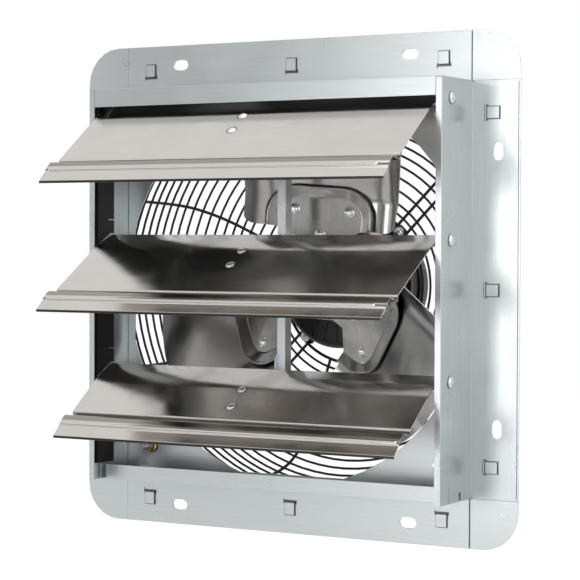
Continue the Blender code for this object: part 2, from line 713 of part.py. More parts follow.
def shutter_rivet_holes(low, high):
    """Cutters for the two rivets, running past a sheet that lies between two heights."""
    return [
        prism(
            [circle((LEVER_RIVET_X, -reach), SHUTTER_RIVET_RADIUS + GAP, 8)],
            low - CUT_OVERRUN,
            high + CUT_OVERRUN,
            across_z,
        )
        for reach in LEVER_RIVETS
    ]


def shutter(level):
    outline = ribbon(shutter_path(SHUTTER_FLATS[level]), SHUTTER_THICKNESS)
    sheet = prism([outline], -SHUTTER_HALF_WIDTH, SHUTTER_HALF_WIDTH, across_x)
    cutters = shutter_rivet_holes(SHUTTER_RISE - SHUTTER_THICKNESS, SHUTTER_RISE)
    place_node(
        f"{level}_shutter",
        cut(sheet, cutters),
        "shutter_aluminium",
        location=(0, -PIVOT_DEPTH, PIVOT_LEVELS[level]),
        rotation=(SHUTTER_ANGLES[level], 0, 0),
    )


def pin_along_x(radius, low, high, steps):
    return prism([circle((0, 0), radius, steps)], low, high, across_x)


def pivot_pin_mesh():
    """Pin at the right end of a shutter: domed head, shank, crank arm and a tab under the sheet."""
    head_start = BOX_HALF_WIDTH + GAP
    head = moved(
        turned([(0, 0), *dome(PIN_HEAD_RADIUS, PIN_HEAD_HEIGHT, 0, 1, 2)], 12),
        Matrix.Translation((head_start, 0, 0)) @ Matrix.Rotation(-math.pi / 2, 4, "Z"),
    )
    arm_outer = RAIL_INNER_X - GAP
    arm_inner = arm_outer - PIN_ARM
    shank = pin_along_x(PIN_RADIUS, arm_inner + FOLD_OVERLAP, head_start + FOLD_OVERLAP, 12)
    under = SHUTTER_THICKNESS + GAP
    slope = (SHUTTER_RISE - SHUTTER_REAR_RISE) / (SHUTTER_REAR + SHUTTER_BEND)

    def below(reach, drop):
        surface = SHUTTER_REAR_RISE + slope * (SHUTTER_REAR + reach)
        return -reach, surface - under * math.hypot(1, slope) - drop

    tab = prism(
        [
            [
                below(PIN_TAB_NEAR, 0),
                below(PIN_TAB_FAR, 0),
                below(PIN_TAB_FAR, PIN_TAB_THICKNESS),
                below(PIN_TAB_NEAR, PIN_TAB_THICKNESS),
            ]
        ],
        arm_inner - PIN_TAB_LENGTH,
        arm_inner + FOLD_OVERLAP,
        across_x,
    )
    rear = arc((0, 0), PIN_ARM_RADIUS, math.pi * 3 / 2, math.pi * 5 / 2 - math.pi / 4, 5)
    arm_outline = [*rear, below(PIN_TAB_FAR, 0), below(PIN_TAB_FAR, PIN_TAB_THICKNESS * 2)]
    arm = prism([arm_outline], arm_inner, arm_outer, across_x)
    return joined([arm, shank, tab, head])


def pivot_pins():
    right = pivot_pin_mesh()
    left = right.copy()
    left.transform(Matrix.Scale(-1, 4, (1, 0, 0)))
    left.flip_normals()
    for level, height in PIVOT_LEVELS.items():
        for side, mesh in (("left", left), ("right", right)):
            place_node(
                f"{level}_{side}_pivot_pin",
                mesh,
                "zinc",
                location=(0, -PIVOT_DEPTH, height),
                rotation=(SHUTTER_ANGLES[level], 0, 0),
            )


def lever(level):
    """Bracket under a shutter: a riveted foot, a web and a pin for the tie bar."""
    angle = SHUTTER_ANGLES[level]
    eye = (
        LEVER_REACH * math.cos(angle) - LEVER_FALL * math.sin(angle),
        -LEVER_REACH * math.sin(angle) - LEVER_FALL * math.cos(angle),
    )
    top = SHUTTER_RISE - SHUTTER_THICKNESS - GAP
    near = -LEVER_RIVETS[0] + LEVER_FOOT_MARGIN
    far = -LEVER_RIVETS[1] - LEVER_FOOT_MARGIN
    web_right = BAR_LEFT - GAP
    web_left = web_right - LEVER_THICKNESS
    foot_left = LEVER_RIVET_X - LEVER_FOOT_WIDTH / 2
    foot = prism([rectangle(foot_left, far, web_right, near)], top - LEVER_THICKNESS, top, across_z)
    holes = shutter_rivet_holes(top - LEVER_THICKNESS, top)
    aim = math.atan2(eye[1] - top, eye[0] - near)
    eye_arc = arc(eye, LEVER_EYE_RADIUS, aim - math.pi / 2, aim + math.pi / 2, 6)
    web_top = top - FOLD_OVERLAP
    web_outline = [*eye_arc, (near, web_top), (far, web_top), (far, top - LEVER_DROP)]
    web = prism([web_outline], web_left, web_right, across_x)
    bar_right = BAR_LEFT + BAR_WIDTH
    head_low = bar_right + GAP
    shank = prism([circle(eye, TIE_PIN_RADIUS, 12)], web_left + FOLD_OVERLAP, head_low + GAP, across_x)
    head = prism([circle(eye, TIE_PIN_HEAD, 12)], head_low, head_low + TIE_PIN_HEAD_WIDTH, across_x)
    place_node(
        f"{level}_lever",
        joined([cut(foot, holes), web, shank, head]),
        "zinc",
        location=(0, -PIVOT_DEPTH, PIVOT_LEVELS[level]),
        rotation=(angle, 0, 0),
    )


def shutter_rivets():
    """Two rivets through each shutter and its lever's foot."""
    top = SHUTTER_RISE + GAP
    bottom = SHUTTER_RISE - SHUTTER_THICKNESS - GAP * 2 - LEVER_THICKNESS
    upper = dome(SHUTTER_RIVET_HEAD, SHUTTER_RIVET_RISE, top, 1, 2)
    lower = dome(SHUTTER_RIVET_RADIUS * 2, SHUTTER_RIVET_RISE, bottom, -1, 1)
    profile = [*reversed(upper), (SHUTTER_RIVET_RADIUS, top), (SHUTTER_RIVET_RADIUS, bottom), *lower]
    rivet = moved(turned(profile, 8), Matrix.Rotation(math.pi / 2, 4, "X"))
    for level, height in PIVOT_LEVELS.items():
        turn = joint_empty(f"{level}_shutter_axis", (0, -PIVOT_DEPTH, height))
        turn.rotation_euler = (SHUTTER_ANGLES[level], 0, 0)
        for name, reach in zip(("rear", "front"), LEVER_RIVETS):
            place_node(
                f"{level}_{name}_rivet",
                rivet,
                "zinc",
                location=(LEVER_RIVET_X, -reach, 0),
                parent=turn,
            )


def tie_bar():
    """Upright U section behind the shutters, with holes for the levers' pins; its origin is the top one."""
    front = -BAR_FRONT_REACH
    back = front + BAR_DEPTH
    right = BAR_LEFT + BAR_WIDTH
    low = PIVOT_LEVELS["bottom"] - PIVOT_LEVELS["top"] - BAR_END * 2
    section = [
        (BAR_LEFT, back),
        (BAR_LEFT, front),
        (right, front),
        (right, back),
        (right - BAR_THICKNESS, back),
        (right - BAR_THICKNESS, front + BAR_THICKNESS),
        (BAR_LEFT + BAR_THICKNESS, front + BAR_THICKNESS),
        (BAR_LEFT + BAR_THICKNESS, back),
    ]
    bar = prism([section], low, BAR_END, across_z)
    ear_top = low + BAR_EAR_RISE
    ear = prism(
        [
            [
                (front + BAR_THICKNESS / 2, ear_top),
                (front - BAR_EAR_FORWARD / 2, ear_top - BAR_EAR_FORWARD / 4),
                (front - BAR_EAR_FORWARD, ear_top - BAR_EAR_FORWARD),
                (front - BAR_EAR_FORWARD, ear_top - BAR_EAR_HEIGHT),
                (front + BAR_THICKNESS / 2, ear_top - BAR_EAR_HEIGHT),
            ]
        ],
        BAR_LEFT + FOLD_OVERLAP / 2,
        BAR_LEFT + BAR_THICKNESS - FOLD_OVERLAP / 2,
        across_x,
    )
    hole = (TIE_PIN_RADIUS + GAP) / math.cos(math.pi / 12)
    cutters = [
        prism(
            [circle((0, level - PIVOT_LEVELS["top"]), hole, 12)],
            BAR_LEFT - CUT_OVERRUN,
            right + CUT_OVERRUN,
            across_x,
        )
        for level in PIVOT_LEVELS.values()
    ]
    place_node(
        "tie_bar",
        cut(joined([bar, ear]), cutters),
        "galvanised",
        location=(0, -PIVOT_DEPTH + LEVER_REACH, PIVOT_LEVELS["top"] - LEVER_FALL),
    )


def corner_fasteners():
    """Bolts through the plate's corners inside the guard's feet, each with a flanged nut in front."""
    head_front = GUARD_BASE_DEPTH + GUARD_WIRE_RADIUS + GAP
    head_back = head_front + CORNER_BOLT_HEAD_HEIGHT
    bolt = turned(
        [
            (0, -CORNER_BOLT_FORWARD),
            (CORNER_BOLT_RADIUS * 3 / 4, -CORNER_BOLT_FORWARD),
            (CORNER_BOLT_RADIUS, -CORNER_BOLT_FORWARD + CORNER_BOLT_RADIUS / 4),
            (CORNER_BOLT_RADIUS, head_front),
            (CORNER_BOLT_HEAD_RADIUS, head_front),
            (CORNER_BOLT_HEAD_RADIUS, head_back),
            (0, head_back),
        ],
        12,
    )
    flange_front = -GAP - CORNER_NUT_FLANGE_HEIGHT
    nut = turned(
        [
            (CORNER_BOLT_RADIUS + GAP, -GAP),
            (CORNER_NUT_FLANGE_RADIUS, -GAP),
            (CORNER_NUT_FLANGE_RADIUS, flange_front),
            (CORNER_NUT_RADIUS, flange_front),
            (CORNER_NUT_RADIUS, flange_front - CORNER_NUT_HEIGHT),
            (CORNER_BOLT_RADIUS + GAP, flange_front - CORNER_NUT_HEIGHT),
        ],
        12,
    )
    corners = {
        "top_left": (-1, 1),
        "top_right": (1, 1),
        "bottom_left": (-1, -1),
        "bottom_right": (1, -1),
    }
    for corner, (side_x, side_z) in corners.items():
        place = (side_x * CORNER_BOLT_SPACING, 0, side_z * CORNER_BOLT_SPACING)
        place_node(f"{corner}_corner_bolt", bolt, "zinc", location=place)
        place_node(f"{corner}_corner_nut", nut, "brass", location=place)


def guard_rods(radius):
    """Turn of each wire that crosses a ring of this radius."""
    half = math.asin(GUARD_ROD_PAIR_HALF / radius)
    pairs = [corner + side * half for corner in GUARD_CORNERS for side in (-1, 1)]
    return sorted([*GUARD_SIDE_RODS, *pairs])


def rod_gaps(rods):
    """The turn from each wire to the next."""
    return [after - turn for turn, after in zip(rods, [*rods[1:], rods[0] + math.tau])]


def guard_turns(radius):
    """(turn, is a wire) for each corner of a ring: its wires, and the points that round it between them."""
    base_gaps = rod_gaps(guard_rods(GUARD_BASE_RADIUS))
    counts = [max(1, math.ceil(gap / GUARD_LARGEST_STEP)) for gap in base_gaps]
    rods = guard_rods(radius)
    return [
        (rod + gap * step / count, step == 0)
        for rod, gap, count in zip(rods, rod_gaps(rods), counts)
        for step in range(count)
    ]


def guard_rings():
    """(radius, y) of every ring, from the base on the plate to the thick ring round the motor."""
    side = [(GUARD_BASE_RADIUS * radius, GUARD_BACK * depth) for radius, depth in GUARD_RING_SHARES]
    counts = range(1, GUARD_BACK_RINGS + 1)
    back = [(GUARD_LAST_CURVED_RADIUS - GUARD_BACK_PITCH * count, GUARD_BACK) for count in counts]
    return [(GUARD_BASE_RADIUS, GUARD_BASE_DEPTH), *side, *back]


def guard_basket():
    """The guard's net of rings and wires, thickened into one welded wire basket."""
    bm = bmesh.new()
    rings = []
    for radius, depth in guard_rings():
        turns = guard_turns(radius)
        corners = [bm.verts.new((radius * math.cos(t), depth, radius * math.sin(t))) for t, _ in turns]
        rings.append(corners)
    wires = [is_wire for _, is_wire in guard_turns(GUARD_INNER_RADIUS)]
    starts = [index for index, is_wire in enumerate(wires) if is_wire]
    for outer, inner in zip(rings, rings[1:]):
        for index, start in enumerate(starts):
            end = starts[index + 1] if index + 1 < len(starts) else len(outer)
            span = [place % len(outer) for place in range(start, end + 1)]
            bm.faces.new([outer[place] for place in span] + [inner[place] for place in reversed(span)])
    guard_feet(bm, rings[0], starts)
    bmesh.ops.recalc_face_normals(bm, faces=bm.faces[:])
    bmesh.ops.wireframe(
        bm,
        faces=bm.faces[:],
        thickness=GUARD_WIRE,
        use_replace=True,
        use_boundary=True,
        use_even_offset=True,
    )
    place_node("wire_guard", mesh_from(bm), "black_wire")


def guard_feet(bm, base, starts):
    """A hairpin foot at each corner, running out from the base ring round the corner bolt."""
    for corner in GUARD_CORNERS:
        out = Vector((math.cos(corner), 0, math.sin(corner)))
        side = Vector((-math.sin(corner), 0, math.cos(corner)))
        pair = [
            place
            for place, start in enumerate(starts)
            if abs(base[start].co.dot(side)) < GUARD_ROD_PAIR_HALF * 2 and base[start].co.dot(out) > 0
        ]
        first, second = (base[starts[place]] for place in pair)
        if first.co.dot(side) > second.co.dot(side):
            first, second = second, first
        centre = out * CORNER_BOLT_REACH + Vector((0, GUARD_BASE_DEPTH, 0))
        bend = []
        for step in range(GUARD_FOOT_TURNS + 1):
            turn = -math.pi / 2 + math.pi * step / GUARD_FOOT_TURNS
            swing = out * math.cos(turn) + side * math.sin(turn)
            bend.append(bm.verts.new(centre + swing * GUARD_ROD_PAIR_HALF))
        bm.faces.new([first, *bend, second])


def motor():
    """Motor casing in three pieces with its mounting plate between them, and a grommet for its lead."""
    bore = SHAFT_RADIUS + GAP
    boss = MOTOR_FRONT - MOTOR_BOSS_HEIGHT
    edge = MOTOR_RADIUS - MOTOR_EDGE_RADIUS
    front = turned(
        [
            (bore, boss),
            (MOTOR_BOSS_RADIUS, boss),
            (MOTOR_BOSS_RADIUS, MOTOR_FRONT),
            *arc((edge, MOTOR_FRONT + MOTOR_EDGE_RADIUS), MOTOR_EDGE_RADIUS, -math.pi / 2, 0, 2),
            (MOTOR_RADIUS, FRONT_CAP_BACK),
            (bore, FRONT_CAP_BACK),
        ],
        MOTOR_FACETS,
    )
    place_node("motor_front_cap", front, "motor_black")
    stator_bore = ROTOR_RADIUS + ROTOR_AIR_GAP
    stator = turned(
        [
            (stator_bore, STATOR_FRONT),
            (MOTOR_RIM_RADIUS, STATOR_FRONT),
            (MOTOR_RIM_RADIUS, STATOR_FRONT + MOTOR_RIM_WIDTH),
            (MOTOR_RADIUS, STATOR_FRONT + MOTOR_RIM_WIDTH),
            (MOTOR_RADIUS, STATOR_BACK - MOTOR_RIM_WIDTH),
            (MOTOR_RIM_RADIUS, STATOR_BACK - MOTOR_RIM_WIDTH),
            (MOTOR_RIM_RADIUS, STATOR_BACK),
            (stator_bore, STATOR_BACK),
        ],
        MOTOR_FACETS,
    )
    place_node("motor_stator", stator, "motor_black")
    rear = turned(
        [
            (0, SHAFT_BACK + GAP),
            (bore, SHAFT_BACK + GAP),
            (bore, REAR_CAP_FRONT),
            (MOTOR_RIM_RADIUS, REAR_CAP_FRONT),
            (MOTOR_RIM_RADIUS, REAR_CAP_FRONT + MOTOR_RIM_WIDTH),
            (MOTOR_RADIUS, REAR_CAP_FRONT + MOTOR_RIM_WIDTH),
            *arc((edge, REAR_CAP_BACK - MOTOR_EDGE_RADIUS), MOTOR_EDGE_RADIUS, 0, math.pi / 2, 2),
            (MOTOR_BOSS_RADIUS, REAR_CAP_BACK),
            (MOTOR_BOSS_RADIUS, REAR_CAP_BACK + MOTOR_BOSS_HEIGHT),
            (0, REAR_CAP_BACK + MOTOR_BOSS_HEIGHT),
        ],
        MOTOR_FACETS,
    )
    place_node("motor_rear_cap", rear, "motor_black")
    grommet = turned(
        [
            (0, REAR_CAP_BACK + GAP),
            (GROMMET_RADIUS, REAR_CAP_BACK + GAP),
            (GROMMET_RADIUS * 3 / 4, REAR_CAP_BACK + GROMMET_HEIGHT),
            (GROMMET_HOLE, REAR_CAP_BACK + GROMMET_HEIGHT),
            (GROMMET_HOLE, REAR_CAP_BACK + GROMMET_HEIGHT / 3),
            (0, REAR_CAP_BACK + GROMMET_HEIGHT / 3),
        ],
        12,
    )
    place_node("cable_grommet", grommet, "rubber", location=(0, 0, -GROMMET_PLACE))


def motor_mounting():
    """Flat plate behind the motor's front cap, with four ears bolted to the guard's wire pairs."""
    swing = math.asin(MOTOR_EAR_WIDTH / 2 / MOTOR_PLATE_RADIUS)
    outline = []
    for corner in GUARD_CORNERS:
        out = (math.cos(corner), math.sin(corner))
        side = (-math.sin(corner), math.cos(corner))
        for share in (-1, 1):
            across = share * MOTOR_EAR_WIDTH / 2
            ends = (
                (MOTOR_EAR_REACH - MOTOR_EAR_WIDTH / 4, across),
                (MOTOR_EAR_REACH, across / 2),
            )
            for reach, offset in ends[::-share]:
                outline.append((out[0] * reach + side[0] * offset, out[1] * reach + side[1] * offset))
        start = corner + swing
        outline += arc((0, 0), MOTOR_PLATE_RADIUS, start, start + math.pi / 2 - 2 * swing, 6)
    holes = [circle((0, 0), MOTOR_PLATE_HOLE, 16)]
    reach = MOTOR_BOLT_PLACE
    places = [(reach * math.cos(turn), reach * math.sin(turn)) for turn in GUARD_CORNERS]
    holes += [circle(place, MOTOR_BOLT_RADIUS + GAP, 8) for place in places]
    plate_back = MOTOR_PLATE_FRONT + MOTOR_PLATE_THICKNESS
    plate = prism([outline, *holes], MOTOR_PLATE_FRONT, plate_back, across_y)
    place_node("motor_mounting_plate", plate, "black_wire")
    head_back = GUARD_BACK - GUARD_WIRE_RADIUS - GAP
    bolt = turned(
        [
            (0, head_back - MOTOR_BOLT_HEAD_HEIGHT),
            (MOTOR_BOLT_HEAD, head_back - MOTOR_BOLT_HEAD_HEIGHT),
            (MOTOR_BOLT_HEAD, head_back),
            (MOTOR_BOLT_RADIUS, head_back),
            (MOTOR_BOLT_RADIUS, plate_back + MOTOR_BOLT_TAIL),
            (0, plate_back + MOTOR_BOLT_TAIL),
        ],
        10,
    )
    names = ("upper_right", "upper_left", "lower_left", "lower_right")
    for name, (across, up) in zip(names, places):
        place_node(f"{name}_motor_bolt", bolt, "zinc", location=(across, 0, up))


def lobe_radius(delta, half_width, reach, corner):
    """How far a rounded arm reaches from the centre at an angle from its own line."""
    slant = abs(delta)
    if reach * math.tan(slant) <= half_width - corner:
        return reach / math.cos(slant)
    if half_width / math.tan(slant) <= reach - corner:
        return half_width / math.sin(slant)
    along = reach - corner
    across = half_width - corner
    toward = along * math.cos(slant) + across * math.sin(slant)
    return toward + math.sqrt(corner**2 - (along**2 + across**2 - toward**2))


def tilt_depth(along, across):
    """Front face of a spider arm: flat round the shaft, tilted like a propeller further out."""
    reach = math.hypot(along, across)
    outward = (reach - SPIDER_TILT_START) / (SPIDER_TILT_END - SPIDER_TILT_START)
    valley = math.pi / len(SPIDER_TURNS)
    sideways = (valley - abs(math.atan2(across, along))) / (valley - SPIDER_FULL_TILT_TURN)
    share = min(max(outward, 0), 1) * min(max(sideways, 0), 1)
    return HUB_DEPTH - SPIDER_TILT * across * share


def hub_spider(fan):
    """Pressed three-armed hub plate with a raised rim, tilted arms and holes for the blade rivets."""
    slope_width = SPIDER_RIM_WIDTH + SPIDER_RIM_SLOPE
    bands = (
        (0, SPIDER_RIM_RISE),
        (SPIDER_RIM_WIDTH, SPIDER_RIM_RISE),
        (slope_width, 0),
    )
    bm = bmesh.new()
    loops = []
    for inset, rise in bands:
        loop = []
        for turn, delta in spider_turns():
            radius = lobe_radius(
                delta, SPIDER_HALF_WIDTH - inset, SPIDER_REACH - inset, SPIDER_CORNER - inset
            )
            depth = tilt_depth(radius * math.cos(delta), radius * math.sin(delta)) - rise
            loop.append(bm.verts.new((radius * math.cos(turn), depth, radius * math.sin(turn))))
        loops.append(loop)
    for radius in (SPIDER_TILT_END, SPIDER_TILT_START, HUB_HOLE_RADIUS):
        loop = []
        for turn, delta in spider_turns():
            depth = tilt_depth(radius * math.cos(delta), radius * math.sin(delta))
            loop.append(bm.verts.new((radius * math.cos(turn), depth, radius * math.sin(turn))))
        loops.append(loop)
    for outer, inner in zip(loops, loops[1:]):
        for index in range(len(outer)):
            bm.faces.new((outer[index - 1], outer[index], inner[index], inner[index - 1]))
    raised = bmesh.ops.extrude_face_region(bm, geom=bm.faces[:])
    backs = [item for item in raised["geom"] if isinstance(item, bmesh.types.BMVert)]
    bmesh.ops.translate(bm, verts=backs, vec=(0, SPIDER_THICKNESS, 0))
    cutters = [moved(rivet_hole(), place) for place in rivet_places().values()]
    cutters += arm_gaps()
    place_node("hub_spider", cut(mesh_from(bm), cutters), "polished_steel", parent=fan)


def arm_gaps():
    """The open spaces between the arms, from the hub's edge out past their rims."""
    side = [(out * SPIDER_REACH, across * SPIDER_REACH) for out, across in SPIDER_GAP_SHARES]
    outline = side + [(out, -across) for out, across in reversed(side)]
    half_turn = math.pi / len(SPIDER_TURNS)
    gap = prism([outline], HUB_DEPTH - SPIDER_REACH, HUB_DEPTH + SPIDER_REACH, across_y)
    return [moved(gap, arm_matrix(turn + half_turn)) for turn in SPIDER_TURNS]


def spider_turns():
    """World turn and angle from the nearest arm for each point round the hub."""
    spacing = math.tau / len(SPIDER_TURNS)
    turns = []
    for arm in SPIDER_TURNS:
        for step in range(SPIDER_ARM_STEPS):
            delta = spacing * (step / SPIDER_ARM_STEPS - 1 / 2)
            turns.append((arm + delta, delta))
    return turns


def arm_matrix(turn):
    """Takes X along an arm and Z across it to their place on the fan."""
    return Matrix.Rotation(-turn, 4, "Y")


def rivet_spots():
    return {
        "leading": (BLADE_RIVET_REACH, BLADE_RIVET_SIDE),
        "trailing": (BLADE_RIVET_REACH, -BLADE_RIVET_SIDE),
        "inner": (BLADE_RIVET_INNER, 0),
    }


def rivet_seat(spot):
    """Takes the Y axis to a rivet's line, square to its arm's tilted face."""
    along, across = spot
    place = Matrix.Translation((along, tilt_depth(along, across), across))
    return place @ Matrix.Rotation(SPIDER_SLOPE, 4, "X")


def rivet_places():
    """Where each blade rivet goes, with the axis along Y at the arm's front face."""
    return {
        (number, spot): arm_matrix(turn) @ rivet_seat(place)
        for number, turn in enumerate(SPIDER_TURNS, 1)
        for spot, place in rivet_spots().items()
    }


def rivet_hole():
    reach = SPIDER_THICKNESS + BLADE_THICKNESS + CUT_OVERRUN
    return prism([circle((0, 0), BLADE_RIVET_RADIUS + GAP, 8)], -reach, reach, across_y)


def blade_rivets(fan):
    back = (SPIDER_THICKNESS + BLADE_THICKNESS + GAP) * math.cos(SPIDER_SLOPE) + GAP
    front = dome(BLADE_RIVET_HEAD, BLADE_RIVET_RISE, -GAP, -1, 2)
    rear = dome(BLADE_RIVET_RADIUS * 2, BLADE_RIVET_RISE / 2, back, 1, 1)
    profile = [*reversed(front), (BLADE_RIVET_RADIUS, -GAP), (BLADE_RIVET_RADIUS, back), *rear]
    rivet = turned(profile, 8)
    for (number, spot), place in rivet_places().items():
        node = place_node(f"blade_{number}_{spot}_rivet", rivet, "zinc", parent=fan)
        node.matrix_local = place


def blade_depth(along, across):
    """Front face of a blade: flat against its arm, curling forward outside it."""
    depth = HUB_DEPTH + SPIDER_THICKNESS + GAP - SPIDER_TILT * across
    edge, curl = BLADE_TRAILING_EDGE, BLADE_TRAILING_CURL
    if across > 0:
        edge, curl = BLADE_LEADING_EDGE, BLADE_LEADING_CURL
    out = max(abs(across) - BLADE_FLAT_HALF, 0) / (edge - BLADE_FLAT_HALF)
    depth -= curl * out**2
    return depth - BLADE_SWEEP * max(along - BLADE_FLAT_REACH, 0)


def trailing_edge(along):
    return -BLADE_TRAILING_EDGE - BLADE_TRAILING_FLARE * (along - BLADE_FLARE_START)


def rounding(distance, radius):
    """How far an edge draws in at a distance from the side it rounds into."""
    near = min(max(radius - distance, 0), radius)
    return radius - math.sqrt(radius**2 - near**2)


def blade_column(share):
    """(along, across) points of one line of the blade, from root to tip."""
    across = trailing_edge(BLADE_ROOT) * (1 - share) + BLADE_LEADING_EDGE * share
    from_side = min(across - trailing_edge(BLADE_ROOT), BLADE_LEADING_EDGE - across)
    tongue = min(max((BLADE_TONGUE_HALF + BLADE_TONGUE_FLANK - abs(across)) / BLADE_TONGUE_FLANK, 0), 1)
    root = BLADE_ROOT + rounding(from_side, BLADE_ROOT_CORNER)
    root -= tongue * (BLADE_ROOT - BLADE_TONGUE_ROOT)
    tip = math.sqrt(BLADE_TIP_RADIUS**2 - across**2)
    tip_across = trailing_edge(tip) * (1 - share) + BLADE_LEADING_EDGE * share
    tip_side = min(tip_across - trailing_edge(tip), BLADE_LEADING_EDGE - tip_across)
    tip = math.sqrt(BLADE_TIP_RADIUS**2 - tip_across**2) - rounding(tip_side, BLADE_TIP_CORNER)
    alongs = [root, (root + BLADE_FLAT_REACH) / 2]
    alongs += [BLADE_FLAT_REACH + (tip - BLADE_FLAT_REACH) * row for row in BLADE_ROW_SHARES]
    return [
        (along, trailing_edge(max(along, BLADE_ROOT)) * (1 - share) + BLADE_LEADING_EDGE * share)
        for along in alongs
    ]


def blade_mesh():
    bm = bmesh.new()
    columns = []
    for share in BLADE_COLUMN_SHARES:
        column = blade_column(share)
        places = [Vector((along, blade_depth(along, across), across)) for along, across in column]
        columns.append([bm.verts.new(place) for place in places])
    for left, right in zip(columns, columns[1:]):
        for index in range(len(left) - 1):
            bm.faces.new((left[index], left[index + 1], right[index + 1], right[index]))
    raised = bmesh.ops.extrude_face_region(bm, geom=bm.faces[:])
    backs = [item for item in raised["geom"] if isinstance(item, bmesh.types.BMVert)]
    bmesh.ops.translate(bm, verts=backs, vec=(0, BLADE_THICKNESS, 0))
    cutters = [moved(rivet_hole(), rivet_seat(spot)) for spot in rivet_spots().values()]
    return cut(mesh_from(bm), cutters)


def fan_wheel():
    """Everything that turns: shaft, hub and blades."""
    fan = joint_empty("fan_axis", (0, 0, 0))
    shaft = turned(
        [
            (0, SHAFT_FRONT),
            (SHAFT_RADIUS * 3 / 4, SHAFT_FRONT),
            (SHAFT_RADIUS, SHAFT_FRONT + SHAFT_RADIUS / 4),
            (SHAFT_RADIUS, SHAFT_BACK),
            (0, SHAFT_BACK),
        ],
        16,
    )
    place_node("motor_shaft", shaft, "zinc", parent=fan)
    hub_spider(fan)
    bore = SHAFT_RADIUS + GAP
    collar = turned(
        [
            (bore, COLLAR_FRONT),
            (COLLAR_FLANGE_RADIUS, COLLAR_FRONT),
            (COLLAR_FLANGE_RADIUS, COLLAR_FRONT + COLLAR_FLANGE_THICKNESS),
            (COLLAR_RADIUS, COLLAR_FRONT + COLLAR_FLANGE_THICKNESS),
            (COLLAR_RADIUS, COLLAR_BACK),
            (bore, COLLAR_BACK),
        ],
        16,
    )
    place_node("hub_collar", collar, "zinc", parent=fan)
    rotor = turned(
        [
            (bore, STATOR_FRONT + ROTOR_END_GAP),
            (ROTOR_RADIUS, STATOR_FRONT + ROTOR_END_GAP),
            (ROTOR_RADIUS, STATOR_BACK - ROTOR_END_GAP),
            (bore, STATOR_BACK - ROTOR_END_GAP),
        ],
        MOTOR_FACETS,
    )
    place_node("motor_rotor", rotor, "zinc", parent=fan)
    blade = blade_mesh()
    for number, turn in enumerate(SPIDER_TURNS, 1):
        place_node(f"blade_{number}", blade, "blade_aluminium", rotation=(0, -turn, 0), parent=fan)
    blade_rivets(fan)


def main():
    clear_scene()
    mounting_plate()
    level_channel("top", 1, BOX_DEPTH, TOP_LIP)
    level_channel("bottom", -1, BOTTOM_DEPTH, BOTTOM_LIP)
    for name, side in (("left", -1), ("right", 1)):
        side_channel(name, side)
        pivot_rail(name, side)
    for level in PIVOT_LEVELS:
        shutter(level)
        lever(level)
    pivot_pins()
    shutter_rivets()
    tie_bar()
    corner_fasteners()
    guard_basket()
    motor()
    motor_mounting()
    fan_wheel()


main()
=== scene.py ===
"""Finishes a wall exhaust fan: sheet metal, shutters, guard, motor, fan wheel, materials and stage.

Sizes are in metres. The origin is the centre of the mounting plate's front face, with the
shutters towards -Y, the motor towards +Y and +Z up.
"""

import math

import bmesh
import bpy
from mathutils import Matrix, Vector


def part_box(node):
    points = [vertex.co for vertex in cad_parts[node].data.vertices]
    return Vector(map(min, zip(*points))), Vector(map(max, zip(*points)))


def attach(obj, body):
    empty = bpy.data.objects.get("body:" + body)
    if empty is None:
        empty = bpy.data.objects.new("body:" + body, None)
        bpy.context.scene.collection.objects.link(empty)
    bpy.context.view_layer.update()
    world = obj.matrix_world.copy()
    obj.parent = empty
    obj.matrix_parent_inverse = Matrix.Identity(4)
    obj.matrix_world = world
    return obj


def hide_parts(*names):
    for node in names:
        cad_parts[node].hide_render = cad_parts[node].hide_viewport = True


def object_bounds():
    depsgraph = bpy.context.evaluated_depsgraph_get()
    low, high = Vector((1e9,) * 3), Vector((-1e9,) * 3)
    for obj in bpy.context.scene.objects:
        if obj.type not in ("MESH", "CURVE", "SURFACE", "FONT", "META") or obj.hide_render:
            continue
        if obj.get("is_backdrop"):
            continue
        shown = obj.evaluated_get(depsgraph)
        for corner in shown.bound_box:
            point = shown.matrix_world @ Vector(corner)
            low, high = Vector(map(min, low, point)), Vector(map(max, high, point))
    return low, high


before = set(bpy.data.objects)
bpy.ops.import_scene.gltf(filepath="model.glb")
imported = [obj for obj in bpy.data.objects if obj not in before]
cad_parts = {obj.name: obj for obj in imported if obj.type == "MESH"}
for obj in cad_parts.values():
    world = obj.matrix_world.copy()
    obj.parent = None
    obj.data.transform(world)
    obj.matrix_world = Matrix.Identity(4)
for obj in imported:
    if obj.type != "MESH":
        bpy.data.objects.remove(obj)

bl_info = {
    "name": "Wall Exhaust Fan",
    "version": (1, 0, 0),
    "blender": (4, 5, 0),
    "location": "3D View > Sidebar > Fan",
    "description": "Builds the visible pieces, finishes and stage of a wall exhaust fan",
    "category": "Object",
}

MM = 0.001
LEVELS = ("top", "middle", "bottom")
SIDES = ("left", "right")
# Turns that take local Z to +Y or to -Y.
Z_TO_BACK = Matrix.Rotation(-math.pi / 2, 4, "X")
Z_TO_FRONT = Matrix.Rotation(math.pi / 2, 4, "X")

# Radius on the edges of moulded, drawn and cut pieces.
RAIL_ROUNDING = 0.35 * MM
TIE_BAR_ROUNDING = 0.3 * MM
PIN_ROUNDING = 0.2 * MM
MOTOR_PLATE_ROUNDING = 0.4 * MM

# Steps round turned pieces.
SCREW_FACETS = 20
BOLT_FACETS = 24
SHAFT_FACETS = 32
COLLAR_FACETS = 48

# A Mix node has sockets for each kind of value; these are the ones for colours.
MIX_COLOUR_INPUTS = slice(6, 8)
MIX_COLOUR_OUTPUT = 2

